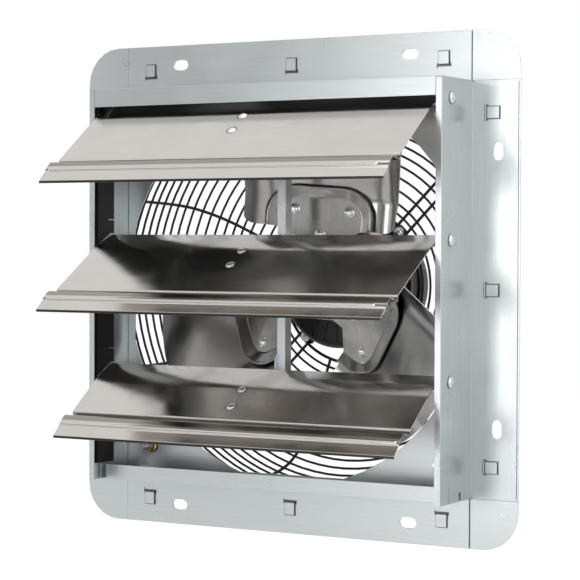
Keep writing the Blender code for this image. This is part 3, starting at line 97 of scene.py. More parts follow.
# Shutters: each turns about its pivot line, and its section runs forward from there.
PIVOT_DEPTH = 38.2 * MM
PIVOT_HEIGHTS = {"top": 145.4 * MM, "middle": 38.2 * MM, "bottom": -69.0 * MM}
SHUTTER_ANGLES = {"top": math.radians(36.0), "middle": math.radians(32.5), "bottom": math.radians(37.0)}
SHUTTER_FLATS = {"top": 83.0 * MM, "middle": 83.0 * MM, "bottom": 60.5 * MM}
SHUTTER_HALF_WIDTH = 152.4 * MM
SHUTTER_RISE = 5.4 * MM
SHUTTER_REAR_EDGE = (-5.0 * MM, 1.5 * MM)
# Bends from the flat to the hemmed lip: how far in front of the flat, and how high.
LIP_BENDS = (
    (2.2 * MM, 1.2 * MM),
    (9.5 * MM, 10.4 * MM),
    (17.5 * MM, 10.05 * MM),
    (21.0 * MM, 8.4 * MM),
    (32.2 * MM, 7.0 * MM),
    (32.3 * MM, 5.5 * MM),
)
BEND_STEPS = 5
REAR_BEND_PLACE = 15.0 * MM
REAR_BEND_ROUNDING = 9.5 * MM
REAR_BEND_STEPS = 10
RIB_RADIUS = 1.7 * MM
RIB_HEIGHT_SHARE = 0.55
RIB_PLACE = 18.9 * MM
RIB_HEIGHT = 9.35 * MM
# How far each rib stops short of the sheet's left and right edges.
RIB_INSETS = {
    "top": (2.25 * MM, 9.0 * MM),
    "middle": (2.25 * MM, 9.0 * MM),
    "bottom": (0, 2.25 * MM),
}
# Painted reflections and shade in lines that cross the lip: a shaded groove, a brown reflection, a dark
# reflection at the crest and a shadowed edge; where each starts and ends in front of the flat, and how
# softly.
GROOVE_SHADE = (0.6 * MM, 6.5 * MM, 0.5 * MM)
BROWN_REFLECTION = (8.6 * MM, 15.0 * MM, 1.0 * MM)
CREST_REFLECTION = (18.4 * MM, 19.4 * MM, 0.6 * MM)
EDGE_SHADOW = (31.4 * MM, 40.0 * MM, 0.5 * MM)
PIN_HEAD_SETBACK = 2.2 * MM

# Rivets: head and tail are radii.
LEVER_RIVET_X = -9.5 * MM
LEVER_RIVETS = {"rear": 24.7 * MM, "front": 45.0 * MM}
RIVET_HEAD_RADIUS = 4.0 * MM
# Softness of the painted shadow ring round each shutter rivet's head.
RIVET_SHADOW_SOFT = 0.5 * MM
SHUTTER_RIVET = {
    "head": RIVET_HEAD_RADIUS,
    "rise": 1.55 * MM,
    "shank": 1.5 * MM,
    "length": 2.5 * MM,
    "tail": 2.9 * MM,
    "tail_rise": 1.2 * MM,
}
BLADE_RIVET = {
    "head": 4.5 * MM,
    "rise": 2.4 * MM,
    "shank": 2.0 * MM,
    "length": 3.2 * MM,
    "tail": 4.0 * MM,
    "tail_rise": 1.1 * MM,
}

# Flange, where its seams get painted shade: its depth, tabs folded over the strips with a slot beside each,
# and the strips' edges.
FLANGE_FRONT = -3.5 * MM
FLANGE_BACK = 0.5 * MM
TAB_SPACING = 136.0 * MM
TAB_HALF_WIDTH = 4.75 * MM
TAB_HALF_LENGTH = 5.25 * MM
TAB_CENTRE_ENDS = 179.55 * MM
TAB_CENTRE_SIDES = 178.15 * MM
TAB_SLOT_HALF_LENGTH = 6.25 * MM
TAB_SLOT_HALF_WIDTH = 0.9 * MM
TAB_SLOT_SETBACK = 6.0 * MM
STRIP_HALF_LENGTH = 159.4 * MM
BOX_HALF_HEIGHT = 161.0 * MM
SEAM_SHADE_WIDTH = 0.55 * MM
# A slit low in each side wall, darkened with painted shade.
SLIT_DEPTH = 39.8 * MM
SLIT_TOP = -148.5 * MM

# Inside of the box, above the top shutter, which lies in shade.
INNER_HALF_WIDTH = 159.6 * MM
SHADE_TOP = 160.4 * MM
SHADE_LOW = 125.0 * MM
SHADE_FULL = 145.0 * MM
SHADE_FRONT = -54.5 * MM
SHADE_BACK = 0.4 * MM

# Guard: rings as shares of the base ring's radius and of the guard's depth.
GUARD_BASE_RING = 174.2 * MM
GUARD_BASE_DEPTH = 2.2 * MM
GUARD_BACK = 104.0 * MM
GUARD_INNER_RING = 67.0 * MM
GUARD_BACK_RINGS = 2
GUARD_RING_SHARES = (
    (0.998, 0.139),
    (0.995, 0.226),
    (0.991, 0.312),
    (0.986, 0.396),
    (0.980, 0.485),
    (0.972, 0.572),
    (0.962, 0.656),
    (0.947, 0.737),
    (0.925, 0.810),
    (0.894, 0.871),
    (0.858, 0.922),
    (0.817, 0.959),
    (0.773, 0.983),
    (0.728, 0.995),
    (0.682, 1),
    (0.634, 1),
    (0.580, 1),
    (0.523, 1),
    (0.467, 1),
)
GUARD_ROD_PAIR_HALF = 5.5 * MM
HAIRPIN_OVERLAP = 1.0 * MM
HAIRPIN_STEPS = 12
HAIRPIN_WIRE_SHARE = 0.72
WIRE_SIDES = 8
GUARD_SIDE_ROD_DEGREES = (24, 68, 112, 156, 204, 252, 288, 336)
GUARD_CORNER_DEGREES = (45, 135, 225, 315)
CORNER_BOLT_SPACING = 135.27 * MM
BOLT_RADIUS = 3.0 * MM
BOLT_TIP = -13.0 * MM
BOLT_HEAD_WIDTH = 10.0 * MM
BOLT_HEAD_DEPTHS = (4.1 * MM, 6.9 * MM)
NUT_WIDTH = 8.2 * MM
BOLT_ROUNDING = 0.25 * MM
NUT_DEPTHS = (2.4 * MM, 7.2 * MM)
NUT_ROUNDING = 0.4 * MM
# The least turn between the faces of a hexagon whose edges are rounded.
HEXAGON_DEGREES = 55.0
BOLT_THREAD_PITCH = 0.8 * MM
BOLT_THREAD_DEPTH = 0.35 * MM

# Motor, from its front cap to its rear boss.
MOTOR_RADIUS = 53.0 * MM
MOTOR_RIM_RADIUS = 55.0 * MM
MOTOR_RIM_WIDTH = 3.0 * MM
RIM_EDGE = 0.5 * MM
MOTOR_BOSS_HEIGHT = 4.0 * MM
CAP_ROUNDING = 6.0 * MM
STATOR_BORE = 25.0 * MM
STATOR_GROOVES = 9
# How deep the stator's wall is sunk, at shares of the way to its next groove.
STATOR_GROOVE = ((0, 0.2), (0, 0.8), (0.5 * MM, 0.9))
THROUGH_BOLT_REACH = 19.5 * MM
FIN_HEIGHT = 1.8 * MM
FIN_HALF_THICKNESS = 0.9 * MM
FIN_ROUNDING = 0.4 * MM
# Each cap's vents take the first two facets of every six.
VENT_SPACING = 6
VENT_WIDTH = 2
VENT_INSET = 1.6 * MM
VENT_DEPTH = 1.6 * MM

# Fan wheel: arm turns are measured from +X towards +Z.
ARM_DEGREES = (85.4, 205.4, 325.4)
HUB_DEPTH = 41.25 * MM
HUB_HOLE_RADIUS = 8.5 * MM
SPIDER_TILT = 0.30
SPIDER_HALF_WIDTH = 42.5 * MM
SPIDER_REACH = 82.5 * MM
SPIDER_CORNER = 25.0 * MM
SPIDER_THICKNESS = 1.5 * MM
TILT_START = 21.0 * MM
TILT_END = 34.0 * MM
TILT_VALLEY = math.radians(60)
TILT_VALLEY_WIDTH = math.radians(20)
# The spider's pressed rim: how far in from its edge, and how far it rises towards the front.
SPIDER_RIM = (
    (0, 4.3 * MM),
    (0.3 * MM, 4.8 * MM),
    (0.9 * MM, 5.0 * MM),
    (1.5 * MM, 4.8 * MM),
    (2.1 * MM, 4.4 * MM),
    (5.2 * MM, 2.6 * MM),
    (8.6 * MM, 0.6 * MM),
    (9.2 * MM, 0.3 * MM),
    (9.8 * MM, 0.1 * MM),
    (10.4 * MM, 0),
)
SPIDER_PLATE_SHARES = (0.25, 0.5, 0.75)
# How far round from the middle of a gap its cuts reach.
GAP_REACH = math.radians(75)
# Half the outline of the open space between two arms, from the hub outwards, as shares of their reach.
SPIDER_GAP_SHARES = ((0.327, 0.19), (0.39, 0.30), (0.625, 0.30), (0.737, 0.246), (0.85, 0.19))
BLADE_GAP = 0.3 * MM
BLADE_TIP_RADIUS = 150.0 * MM
BLADE_THICKNESS = 1.2 * MM
BLADE_COLUMNS = 48
BLADE_ROWS = 30
BLADE_LEADING_EDGE = 56.3 * MM
BLADE_TRAILING_EDGE = 63.1 * MM
BLADE_TRAILING_FLARE = 0.16
BLADE_FLARE_START = 60.0 * MM
BLADE_ROOT = 48.0 * MM
BLADE_TONGUE_ROOT = 37.0 * MM
BLADE_TONGUE_HALF = 12.5 * MM
BLADE_TONGUE_FLANK = 6.0 * MM
BLADE_FLAT_HALF = 32.7 * MM
BLADE_FLAT_REACH = 72.7 * MM
BLADE_SWEEP = 0.275
BLADE_LEADING_CURL = 15.5 * MM
BLADE_TRAILING_CURL = 11.2 * MM
BLADE_ROOT_CORNER = 7.0 * MM
BLADE_TIP_CORNER = 24.0 * MM
# Each blade rivet's place along and across its arm.
BLADE_RIVETS = {
    "leading": (62.8 * MM, 22.1 * MM),
    "trailing": (62.8 * MM, -22.1 * MM),
    "inner": (42.8 * MM, 0),
}

# Camera, from lines and circles followed in the photograph.
CAMERA_PLACE = (0.81532, -1.41972, 0.03668)
CAMERA_AZIMUTH = math.radians(29.91)
CAMERA_PITCH = math.radians(-1.365)
CAMERA_ROLL = math.radians(0.204)
SENSOR_WIDTH = 36.0
FOCAL_PIXELS = 2023.77
PHOTO_PIXELS = 580

# Lamps: name, place, the point that it faces, its width and height, and its power in watts.
LAMPS = (
    ("Overhead lamp", (0.2, -0.4, 1.7), (0, 0, 0), (1.6, 1.2), 12),
    ("Front softbox", (-0.53, -2.1, -0.05), (0.18, 0, 0), (0.5, 1.1), 7.5),
    ("Right lamp", (2.0, -0.6, 0.9), (0, 0, 0), (0.9, 1.2), 17),
    ("Left softbox", (-2.35, -2.0, 0.1), (0, 0, 0), (0.4, 1.0), 6),
    ("Right softbox", (1.25, -2.2, 0), (0.16, 0, 0), (0.7, 1.6), 6),
    ("Rear lamp", (0.2, 2.0, 1.2), (0, 0, 0), (1.4, 1.0), 8),
)
BOARD_PLACE = (-1.65, -2.1, 0)
BOARD_HALF_SIZE = 0.8
FLOOR_HALF_SIZE = 6.0
# How bright the floor glows, how much of what is seen is glow, and how strongly the world lights.
FLOOR_GLOW = 1.15
FLOOR_GLOW_SHARE = 0.8
WORLD_STRENGTH = 0.45


# Settings that a user would change.


class FAN_PG_sheets(bpy.types.PropertyGroup):
    """Folded and flat galvanised sheet"""

    edge_rounding: bpy.props.FloatProperty(
        name="Edge rounding",
        description="Radius on the edges of cut and folded sheet",
        default=0.00022,
        min=0.00005,
        max=0.0004,
        unit="LENGTH",
    )
    galvanised_colour: bpy.props.FloatVectorProperty(
        name="Galvanised colour",
        description="Colour of the zinc coating",
        default=(0.52, 0.55, 0.556),
        size=3,
        subtype="COLOR",
    )


class FAN_PG_shutters(bpy.types.PropertyGroup):
    """Gravity shutters"""

    sheet_thickness: bpy.props.FloatProperty(
        name="Sheet thickness",
        description="Thickness of a shutter's sheet",
        default=0.0006,
        min=0.0003,
        max=0.0008,
        unit="LENGTH",
    )
    bend_rounding: bpy.props.FloatProperty(
        name="Bend rounding",
        description="How far the rounding runs to each side of a bend",
        default=0.0018,
        min=0.0005,
        max=0.002,
        unit="LENGTH",
    )
    colour: bpy.props.FloatVectorProperty(
        name="Shutter colour",
        description="Colour of the bright rolled sheet",
        default=(0.60, 0.575, 0.545),
        size=3,
        subtype="COLOR",
    )


class FAN_PG_guard(bpy.types.PropertyGroup):
    """Wire guard"""

    ring_wire: bpy.props.FloatProperty(
        name="Ring wire",
        description="Diameter of the ring wires",
        default=0.0021,
        min=0.001,
        max=0.003,
        unit="LENGTH",
    )
    rod_wire: bpy.props.FloatProperty(
        name="Rod wire",
        description="Diameter of the rods that cross the rings",
        default=0.0027,
        min=0.0015,
        max=0.004,
        unit="LENGTH",
    )
    ring_steps: bpy.props.IntProperty(
        name="Ring steps",
        description="Straight pieces in each ring",
        default=80,
        min=24,
        max=160,
    )


class FAN_PG_wheel(bpy.types.PropertyGroup):
    """Hub spider and blades"""

    spider_steps: bpy.props.IntProperty(
        name="Spider steps",
        description="Steps round the hub spider",
        default=216,
        min=72,
        max=360,
    )
    blade_colour: bpy.props.FloatVectorProperty(
        name="Blade colour",
        description="Colour of the blades' aluminium",
        default=(0.38, 0.374, 0.368),
        size=3,
        subtype="COLOR",
    )


class FAN_PG_motor(bpy.types.PropertyGroup):
    """Motor and its mounting"""

    facets: bpy.props.IntProperty(
        name="Facets",
        description="Steps round the motor's casing",
        default=72,
        min=24,
        max=144,
    )
    cooling_fins: bpy.props.IntProperty(
        name="Cooling fins",
        description="Fins on the rear cap",
        default=12,
        min=6,
        max=24,
    )


class FAN_PG_stage(bpy.types.PropertyGroup):
    """Floor, lamps and camera"""

    lamp_strength: bpy.props.FloatProperty(
        name="Lamp strength",
        description="Scales all the lamps together",
        default=1.0,
        min=0.1,
        max=4.0,
    )
    floor_drop: bpy.props.FloatProperty(
        name="Floor drop",
        description="Distance from the fan's lowest point down to the floor",
        default=0.10,
        min=0.0,
        max=1.0,
        unit="LENGTH",
    )


# Shader node groups.


def add_node(tree, kind, **settings):
    """A new node with some of its properties set."""
    node = tree.nodes.new(kind)
    for name, value in settings.items():
        setattr(node, name, value)
    return node


def plug(tree, socket, value):
    """Gives a socket a plain value or another node's output."""
    if hasattr(value, "is_output"):
        tree.links.new(value, socket)
    else:
        socket.default_value = value


def feed(tree, node, **values):
    """Plugs values into a node's inputs by name, with an underscore for each space."""
    for name, value in values.items():
        plug(tree, node.inputs[name.replace("_", " ")], value)


def calculated(tree, operation, *values):
    """A math node; each value is a number or another node's output."""
    node = add_node(tree, "ShaderNodeMath", operation=operation)
    for socket, value in zip(node.inputs, values):
        plug(tree, socket, value)
    return node.outputs[0]


def mapped(tree, value, low, high, new_low=0, new_high=1):
    """A value taken from one range to another, and held inside it."""
    node = add_node(tree, "ShaderNodeMapRange")
    feed(tree, node, Value=value, From_Min=low, From_Max=high, To_Min=new_low, To_Max=new_high)
    return node.outputs["Result"]


def noise(tree, vector, scale, detail, roughness):
    node = add_node(tree, "ShaderNodeTexNoise")
    feed(tree, node, Vector=vector, Scale=scale, Detail=detail, Roughness=roughness)
    return node.outputs["Fac"]


def object_place(tree):
    return add_node(tree, "ShaderNodeTexCoord").outputs["Object"]


def object_axes(tree):
    """A point's X, Y and Z on the object."""
    axes = add_node(tree, "ShaderNodeSeparateXYZ")
    feed(tree, axes, Vector=object_place(tree))
    return axes.outputs["X"], axes.outputs["Y"], axes.outputs["Z"]


def attribute(tree, name):
    return add_node(tree, "ShaderNodeAttribute", attribute_name=name).outputs["Fac"]


def apart(tree, value, place):
    """How far a value lies from a place, to either side."""
    return calculated(tree, "ABSOLUTE", calculated(tree, "SUBTRACT", value, place))


def kept_where(tree, mask, *tests):
    """A mask that is kept where every test holds; a test is an operation, a value and its limit."""
    for operation, value, limit in tests:
        mask = calculated(tree, "MULTIPLY", mask, calculated(tree, operation, value, limit))
    return mask


def band(tree, value, start, end, soft):
    """A mask that is 1 between start and end, and falls off over a soft width outside them."""
    rising = mapped(tree, value, start - soft, start)
    return calculated(tree, "MINIMUM", rising, mapped(tree, value, end, end + soft, 1, 0))


def mask_group(name, **inputs):
    """An empty shader node group that puts out one mask, with its inputs and the output node."""
    group = bpy.data.node_groups.new(name, "ShaderNodeTree")
    for socket_name, default in inputs.items():
        kind = "NodeSocketVector" if isinstance(default, tuple) else "NodeSocketFloat"
        socket = group.interface.new_socket(socket_name, in_out="INPUT", socket_type=kind)
        socket.default_value = default
    group.interface.new_socket("Mask", in_out="OUTPUT", socket_type="NodeSocketFloat")
    return group, add_node(group, "NodeGroupInput").outputs, add_node(group, "NodeGroupOutput")


def grain_group():
    """Fine streaks that run along one axis, as rolling and brushing leave them."""
    group, given, result = mask_group("Sheet grain", Stretch=(1, 1, 1))
    stretched = add_node(group, "ShaderNodeMapping")
    feed(group, stretched, Vector=object_place(group), Scale=given["Stretch"])
    streaks = noise(group, stretched.outputs["Vector"], scale=1.0, detail=5.0, roughness=0.65)
    feed(group, result, Mask=mapped(group, streaks, 0.28, 0.72))
    return group


def blotch_group():
    """Soft patches, as handling and uneven plating leave them."""
    group, given, result = mask_group("Soft blotches", Scale=18.0, Low=0.35, High=0.7)
    patches = noise(group, object_place(group), given["Scale"], detail=2.5, roughness=0.55)
    feed(group, result, Mask=mapped(group, patches, given["Low"], given["High"]))
    return group


def speck_group():
    """Small scattered specks, such as dust, pits or spangle."""
    group, given, result = mask_group("Scattered specks", Scale=900.0, Size=0.25)
    place = object_place(group)
    cells = add_node(group, "ShaderNodeTexVoronoi")
    feed(group, cells, Vector=place, Scale=given["Scale"])
    crowd = noise(group, place, scale=260.0, detail=1.0, roughness=0.5)
    crowded = mapped(group, crowd, 0.45, 0.7)
    limit = calculated(group, "MULTIPLY", crowded, given["Size"])
    feed(group, result, Mask=calculated(group, "LESS_THAN", cells.outputs["Distance"], limit))
    return group


def outside(tree, along, half_length, across, centre, half_width):
    """How far a point lies outside a rectangle, and below 0 inside it."""
    beyond = calculated(tree, "SUBTRACT", apart(tree, across, centre), half_width)
    return calculated(tree, "MAXIMUM", calculated(tree, "SUBTRACT", along, half_length), beyond)


def beside_tabs(tree, along, across, centre):
    """How far a point lies outside a tab and outside its slot, along one side of the flange."""
    along = calculated(tree, "MINIMUM", along, apart(tree, along, TAB_SPACING))
    slot_centre = centre - TAB_SLOT_SETBACK
    tab = outside(tree, along, TAB_HALF_WIDTH, across, centre, TAB_HALF_LENGTH)
    return tab, outside(tree, along, TAB_SLOT_HALF_LENGTH, across, slot_centre, TAB_SLOT_HALF_WIDTH)


def seam_shade_group():
    """Painted shade in the seams round the folded tabs, in their slots, at the strips' ends and folds, and in
    the slit.
    """
    group, _, result = mask_group("Flange seam shade")
    x, y, z = object_axes(group)
    across = calculated(group, "ABSOLUTE", x)
    up = calculated(group, "ABSOLUTE", z)
    end_tab, end_slot = beside_tabs(group, across, up, TAB_CENTRE_ENDS)
    side_tab, side_slot = beside_tabs(group, up, across, TAB_CENTRE_SIDES)
    tab = calculated(group, "ABSOLUTE", calculated(group, "MINIMUM", end_tab, side_tab))
    slot = calculated(group, "MINIMUM", end_slot, side_slot)
    strip_end = mapped(group, apart(group, across, STRIP_HALF_LENGTH), 0, SEAM_SHADE_WIDTH, 0.8, 0)
    dark = mapped(group, tab, 0.3 * SEAM_SHADE_WIDTH, 1.2 * SEAM_SHADE_WIDTH, 1, 0)
    for seam in (
        kept_where(group, strip_end, ("GREATER_THAN", up, BOX_HALF_HEIGHT)),
        mapped(group, slot, -0.2 * SEAM_SHADE_WIDTH, 0, 1, 0),
        mapped(group, apart(group, up, BOX_HALF_HEIGHT), 0, SEAM_SHADE_WIDTH, 0.6, 0),
    ):
        dark = calculated(group, "MAXIMUM", dark, seam)
    dark = kept_where(group, dark, ("GREATER_THAN", y, FLANGE_FRONT), ("LESS_THAN", y, FLANGE_BACK))
    slit = mapped(group, apart(group, y, -SLIT_DEPTH), 0.6 * SEAM_SHADE_WIDTH, 1.2 * SEAM_SHADE_WIDTH, 1, 0)
    slit = kept_where(group, slit, ("GREATER_THAN", across, INNER_HALF_WIDTH), ("LESS_THAN", z, SLIT_TOP))
    feed(group, result, Mask=calculated(group, "MAXIMUM", dark, slit))
    return group


def shade_group():
    """Shade inside the box, under its top wall."""
    group, _, result = mask_group("Box shade")
    x, y, z = object_axes(group)
    shade = kept_where(
        group,
        mapped(group, z, SHADE_LOW, SHADE_FULL),
        ("LESS_THAN", calculated(group, "ABSOLUTE", x), INNER_HALF_WIDTH),
        ("LESS_THAN", z, SHADE_TOP),
        ("GREATER_THAN", y, SHADE_FRONT),
        ("LESS_THAN", y, SHADE_BACK),
    )
    feed(group, result, Mask=shade)
    return group


def place_group(tree, name, builder, **values):
    """Places the named node group, built the first time it is asked for, and gives its mask."""
    group = bpy.data.node_groups.get(name) or builder()
    node = add_node(tree, "ShaderNodeGroup", node_tree=group)
    feed(tree, node, **values)
    return node.outputs["Mask"]


def grain(tree, stretch):
    return place_group(tree, "Sheet grain", grain_group, Stretch=stretch)


def blotches(tree, scale, low, high):
    return place_group(tree, "Soft blotches", blotch_group, Scale=scale, Low=low, High=high)


def specks(tree, scale, size):
    return place_group(tree, "Scattered specks", speck_group, Scale=scale, Size=size)


# Materials.


def start_material(name):
    material = bpy.data.materials.new(name)
    material.use_nodes = True
    tree = material.node_tree
    return material, tree, tree.nodes["Principled BSDF"]


def tinted(tree, below, above, mask, strength=1.0):
    """One colour laid over another through a mask; a colour is a value or another node's output."""
    blend = add_node(tree, "ShaderNodeMix", data_type="RGBA", blend_type="MIX")
    feed(tree, blend, Factor=mapped(tree, mask, 0, 1, 0, strength))
    for socket, colour in zip(blend.inputs[MIX_COLOUR_INPUTS], (below, above)):
        plug(tree, socket, (*colour, 1) if isinstance(colour, tuple) else colour)
    return blend.outputs[MIX_COLOUR_OUTPUT]


def shaded(colour, share):
    return tuple(channel * share for channel in colour)


def layered(tree, base, *layers):
    """A colour with layers over it; a layer is a colour, its mask and its strength."""
    for colour, mask, strength in layers:
        base = tinted(tree, base, colour, mask, strength)
    return base


def add_bump(tree, shader, heights):
    """Bumps laid on each other; heights are (mask, strength, distance)."""
    normal = None
    for height, strength, distance in heights:
        bump = add_node(tree, "ShaderNodeBump")
        feed(tree, bump, Height=height, Strength=strength, Distance=distance)
        if normal:
            feed(tree, bump, Normal=normal)
        normal = bump.outputs["Normal"]
    feed(tree, shader, Normal=normal)


def finish_surface(tree, shader, base, worn, smooth, rough, heights, metallic=0.0):
    """Gives a surface its colour, its roughness through a mask, its metal and its bumps."""
    feed(tree, shader, Base_Color=base, Roughness=mapped(tree, worn, 0, 1, smooth, rough), Metallic=metallic)
    add_bump(tree, shader, heights)


def galvanised_material(name, stretch, colour):
    """Zinc-coated sheet: fine streaks along the strip, faint blotches and pits, and painted shade in its
    seams and inside the box.
    """
    material, tree, shader = start_material(name)
    streaks = grain(tree, stretch)
    patches = blotches(tree, scale=22.0, low=0.3, high=0.75)
    pits = specks(tree, scale=700.0, size=0.3)
    base = layered(
        tree,
        shaded(colour, 0.90),
        (shaded(colour, 1.06), streaks, 1.0),
        (shaded(colour, 0.9), patches, 0.3),
        (shaded(colour, 0.6), pits, 0.35),
        # Painted shade: dark seams round the flange's tabs, slots, strip ends and folds, then painted shade
        # inside the box under its top wall.
        (shaded(colour, 0.12), place_group(tree, "Flange seam shade", seam_shade_group), 0.9),
        (shaded(colour, 0.1), place_group(tree, "Box shade", shade_group), 0.9),
    )
    heights = [(streaks, 0.12, 0.2 * MM), (pits, 0.1, 0.1 * MM)]
    finish_surface(tree, shader, base, patches, smooth=0.27, rough=0.31, heights=heights, metallic=0.92)
    return material


def rivet_shadow_rings(tree):
    """Painted shadow in rings on a shutter round its two rivet heads, where the heads overhang the sheet."""
    aside = calculated(tree, "SUBTRACT", object_axes(tree)[0], LEVER_RIVET_X)
    aside = calculated(tree, "MULTIPLY", aside, aside)
    forward = attribute(tree, "forward")
    distances = []
    for spot in LEVER_RIVETS.values():
        along = calculated(tree, "SUBTRACT", forward, spot)
        along = calculated(tree, "MULTIPLY", along, along)
        distances.append(calculated(tree, "SQRT", calculated(tree, "ADD", aside, along)))
    nearest = calculated(tree, "MINIMUM", *distances)
    start, end = RIVET_HEAD_RADIUS - RIVET_SHADOW_SOFT, RIVET_HEAD_RADIUS + RIVET_SHADOW_SOFT
    return band(tree, nearest, start, end, RIVET_SHADOW_SOFT)


def shutter_material(name, colour):
    """Bright rolled aluminium: nearly a mirror, with soft waves, fine rolling lines, painted reflections and
    shade in lines on its lip, and painted shadow round its rivets.
    """
    material, tree, shader = start_material(name)
    lines = grain(tree, (14.0, 2600.0, 2600.0))
    waves = blotches(tree, scale=14.0, low=0.2, high=0.8)
    smears = blotches(tree, scale=38.0, low=0.4, high=0.75)
    reach = attribute(tree, "reach")
    # Painted reflections and shade across the lip: shaded groove, brown reflection, dark crest reflection and
    # shadowed edge.
    lip_reflections_and_shade = [
        (shaded(colour, 0.3), band(tree, reach, *GROOVE_SHADE), 0.8),
        ((0.27, 0.235, 0.2), band(tree, reach, *BROWN_REFLECTION), 0.85),
        ((0.1, 0.095, 0.1), band(tree, reach, *CREST_REFLECTION), 0.85),
        ((0.02, 0.02, 0.02), band(tree, reach, *EDGE_SHADOW), 0.95),
    ]
    base = layered(
        tree,
        shaded(colour, 0.95),
        (shaded(colour, 1.05), lines, 1.0),
        (shaded(colour, 0.88), smears, 0.35),
        *lip_reflections_and_shade,
        # Painted shadow ring round each rivet head.
        (shaded(colour, 0.1), rivet_shadow_rings(tree), 0.85),
    )
    heights = [(waves, 0.25, 1.2 * MM), (lines, 0.03, 0.1 * MM)]
    finish_surface(tree, shader, base, smears, smooth=0.13, rough=0.2, heights=heights, metallic=1.0)
    shader.inputs["Anisotropic"].default_value = 0.3
    return material


def blade_material(name, colour):
    """Satin aluminium with a fine mill grain and faint smears."""
    material, tree, shader = start_material(name)
    lines = grain(tree, (900.0, 60.0, 900.0))
    smears = blotches(tree, scale=26.0, low=0.35, high=0.75)
    base = layered(
        tree,
        shaded(colour, 0.96),
        (shaded(colour, 1.04), lines, 1.0),
        (shaded(colour, 0.85), smears, 0.4),
        (shaded(colour, 0.5), specks(tree, scale=850.0, size=0.22), 0.25),
    )
    heights = [(smears, 0.2, 0.8 * MM), (lines, 0.04, 0.1 * MM)]
    finish_surface(tree, shader, base, smears, smooth=0.16, rough=0.26, heights=heights, metallic=1.0)
    return material


def spider_material(name):
    """Polished pressed steel with dust specks and rubbed streaks."""
    colour = (0.29, 0.285, 0.277)
    material, tree, shader = start_material(name)
    dust = specks(tree, scale=1300.0, size=0.34)
    smears = blotches(tree, scale=55.0, low=0.35, high=0.7)
    base = layered(
        tree,
        shaded(colour, 0.92),
        (shaded(colour, 1.06), grain(tree, (420.0, 60.0, 90.0)), 1.0),
        (shaded(colour, 0.8), smears, 0.4),
        ((0.6, 0.59, 0.575), dust, 0.3),
    )
    heights = [(smears, 0.2, 0.5 * MM), (dust, 0.3, 0.2 * MM)]
    finish_surface(tree, shader, base, smears, smooth=0.15, rough=0.27, heights=heights, metallic=1.0)
    return material


def black_coat_material(name, colour, roughness, coat):
    """Black powder coat: fine orange-peel bumps and slightly worn patches."""
    material, tree, shader = start_material(name)
    peel = grain(tree, (1400.0, 1400.0, 1400.0))
    worn = blotches(tree, scale=60.0, low=0.45, high=0.75)
    base = layered(
        tree,
        colour,
        (shaded(colour, 1.9), peel, 1.0),
        ((0.03, 0.029, 0.031), worn, 0.25),
    )
    finish_surface(tree, shader, base, worn, roughness, roughness + 0.15, [(peel, 0.12, 0.2 * MM)])
    feed(tree, shader, Specular_IOR_Level=0.3, Coat_Weight=coat, Coat_Roughness=0.2)
    return material


def rail_material(name):
    """Moulded black plastic with a fine matt texture and faint draw lines."""
    material, tree, shader = start_material(name)
    texture = grain(tree, (1800.0, 1800.0, 1800.0))
    draw = grain(tree, (900.0, 900.0, 25.0))
    base = tinted(tree, (0.004, 0.004, 0.004), (0.014, 0.014, 0.015), draw)
    heights = [(texture, 0.15, 0.2 * MM), (draw, 0.08, 0.2 * MM)]
    finish_surface(tree, shader, base, texture, smooth=0.42, rough=0.6, heights=heights)
    shader.inputs["Specular IOR Level"].default_value = 0.3
    return material


def plated_material(name, bright, dull, roughness):
    """Plated fasteners: bright metal with dull patches and small pits."""
    material, tree, shader = start_material(name)
    patches = blotches(tree, scale=160.0, low=0.35, high=0.7)
    base = layered(
        tree,
        bright,
        (dull, patches, 0.8),
        (shaded(dull, 0.4), specks(tree, scale=1800.0, size=0.25), 0.4),
    )
    heights = [(patches, 0.2, 0.2 * MM)]
    finish_surface(tree, shader, base, patches, roughness, roughness + 0.18, heights, 1.0)
    return material


def rubber_material(name):
    """Black rubber with a fine matt texture and pale dust."""
    material, tree, shader = start_material(name)
    texture = grain(tree, (1200.0, 1200.0, 1200.0))
    dust = blotches(tree, scale=120.0, low=0.45, high=0.8)
    base = tinted(tree, (0.018, 0.018, 0.018), (0.05, 0.049, 0.047), dust, 0.6)
    heights = [(texture, 0.2, 0.2 * MM)]
    finish_surface(tree, shader, base, texture, smooth=0.6, rough=0.78, heights=heights)
    return material


def material_for(kind):
    """The named finish, made the first time it is needed."""
    known = bpy.data.materials.get(kind)
    if known:
        return known
    scene = bpy.context.scene
    zinc_coat = tuple(scene.fan_sheets.galvanised_colour)
    makers = {
        "Galvanised across": lambda name: galvanised_material(name, (18.0, 900.0, 1500.0), zinc_coat),
        "Galvanised upright": lambda name: galvanised_material(name, (1500.0, 900.0, 18.0), zinc_coat),
        "Bright rolled aluminium": lambda name: shutter_material(name, tuple(scene.fan_shutters.colour)),
        "Satin blade aluminium": lambda name: blade_material(name, tuple(scene.fan_wheel.blade_colour)),
        "Polished pressed steel": spider_material,
        "Black wire coat": lambda name: black_coat_material(name, (0.003, 0.003, 0.003), 0.4, coat=0.05),
        "Black motor enamel": lambda name: black_coat_material(name, (0.004, 0.004, 0.005), 0.32, coat=0.12),
        "Black moulded plastic": rail_material,
        "Zinc plate": lambda name: plated_material(name, (0.74, 0.75, 0.76), (0.5, 0.51, 0.52), 0.16),
        "Yellow zinc": lambda name: plated_material(name, (0.62, 0.47, 0.22), (0.36, 0.25, 0.12), 0.24),
        "Rubber": rubber_material,
    }
    return makers[kind](kind)


# Modelling helpers.


def mesh_object(name, bm, material):
    """An object at the origin, made from a bmesh."""
    mesh = bpy.data.meshes.new(name)
    bm.to_mesh(mesh)
    bm.free()
    mesh.materials.append(material)
    thing = bpy.data.objects.new(name, mesh)
    bpy.context.scene.collection.objects.link(thing)
    return thing


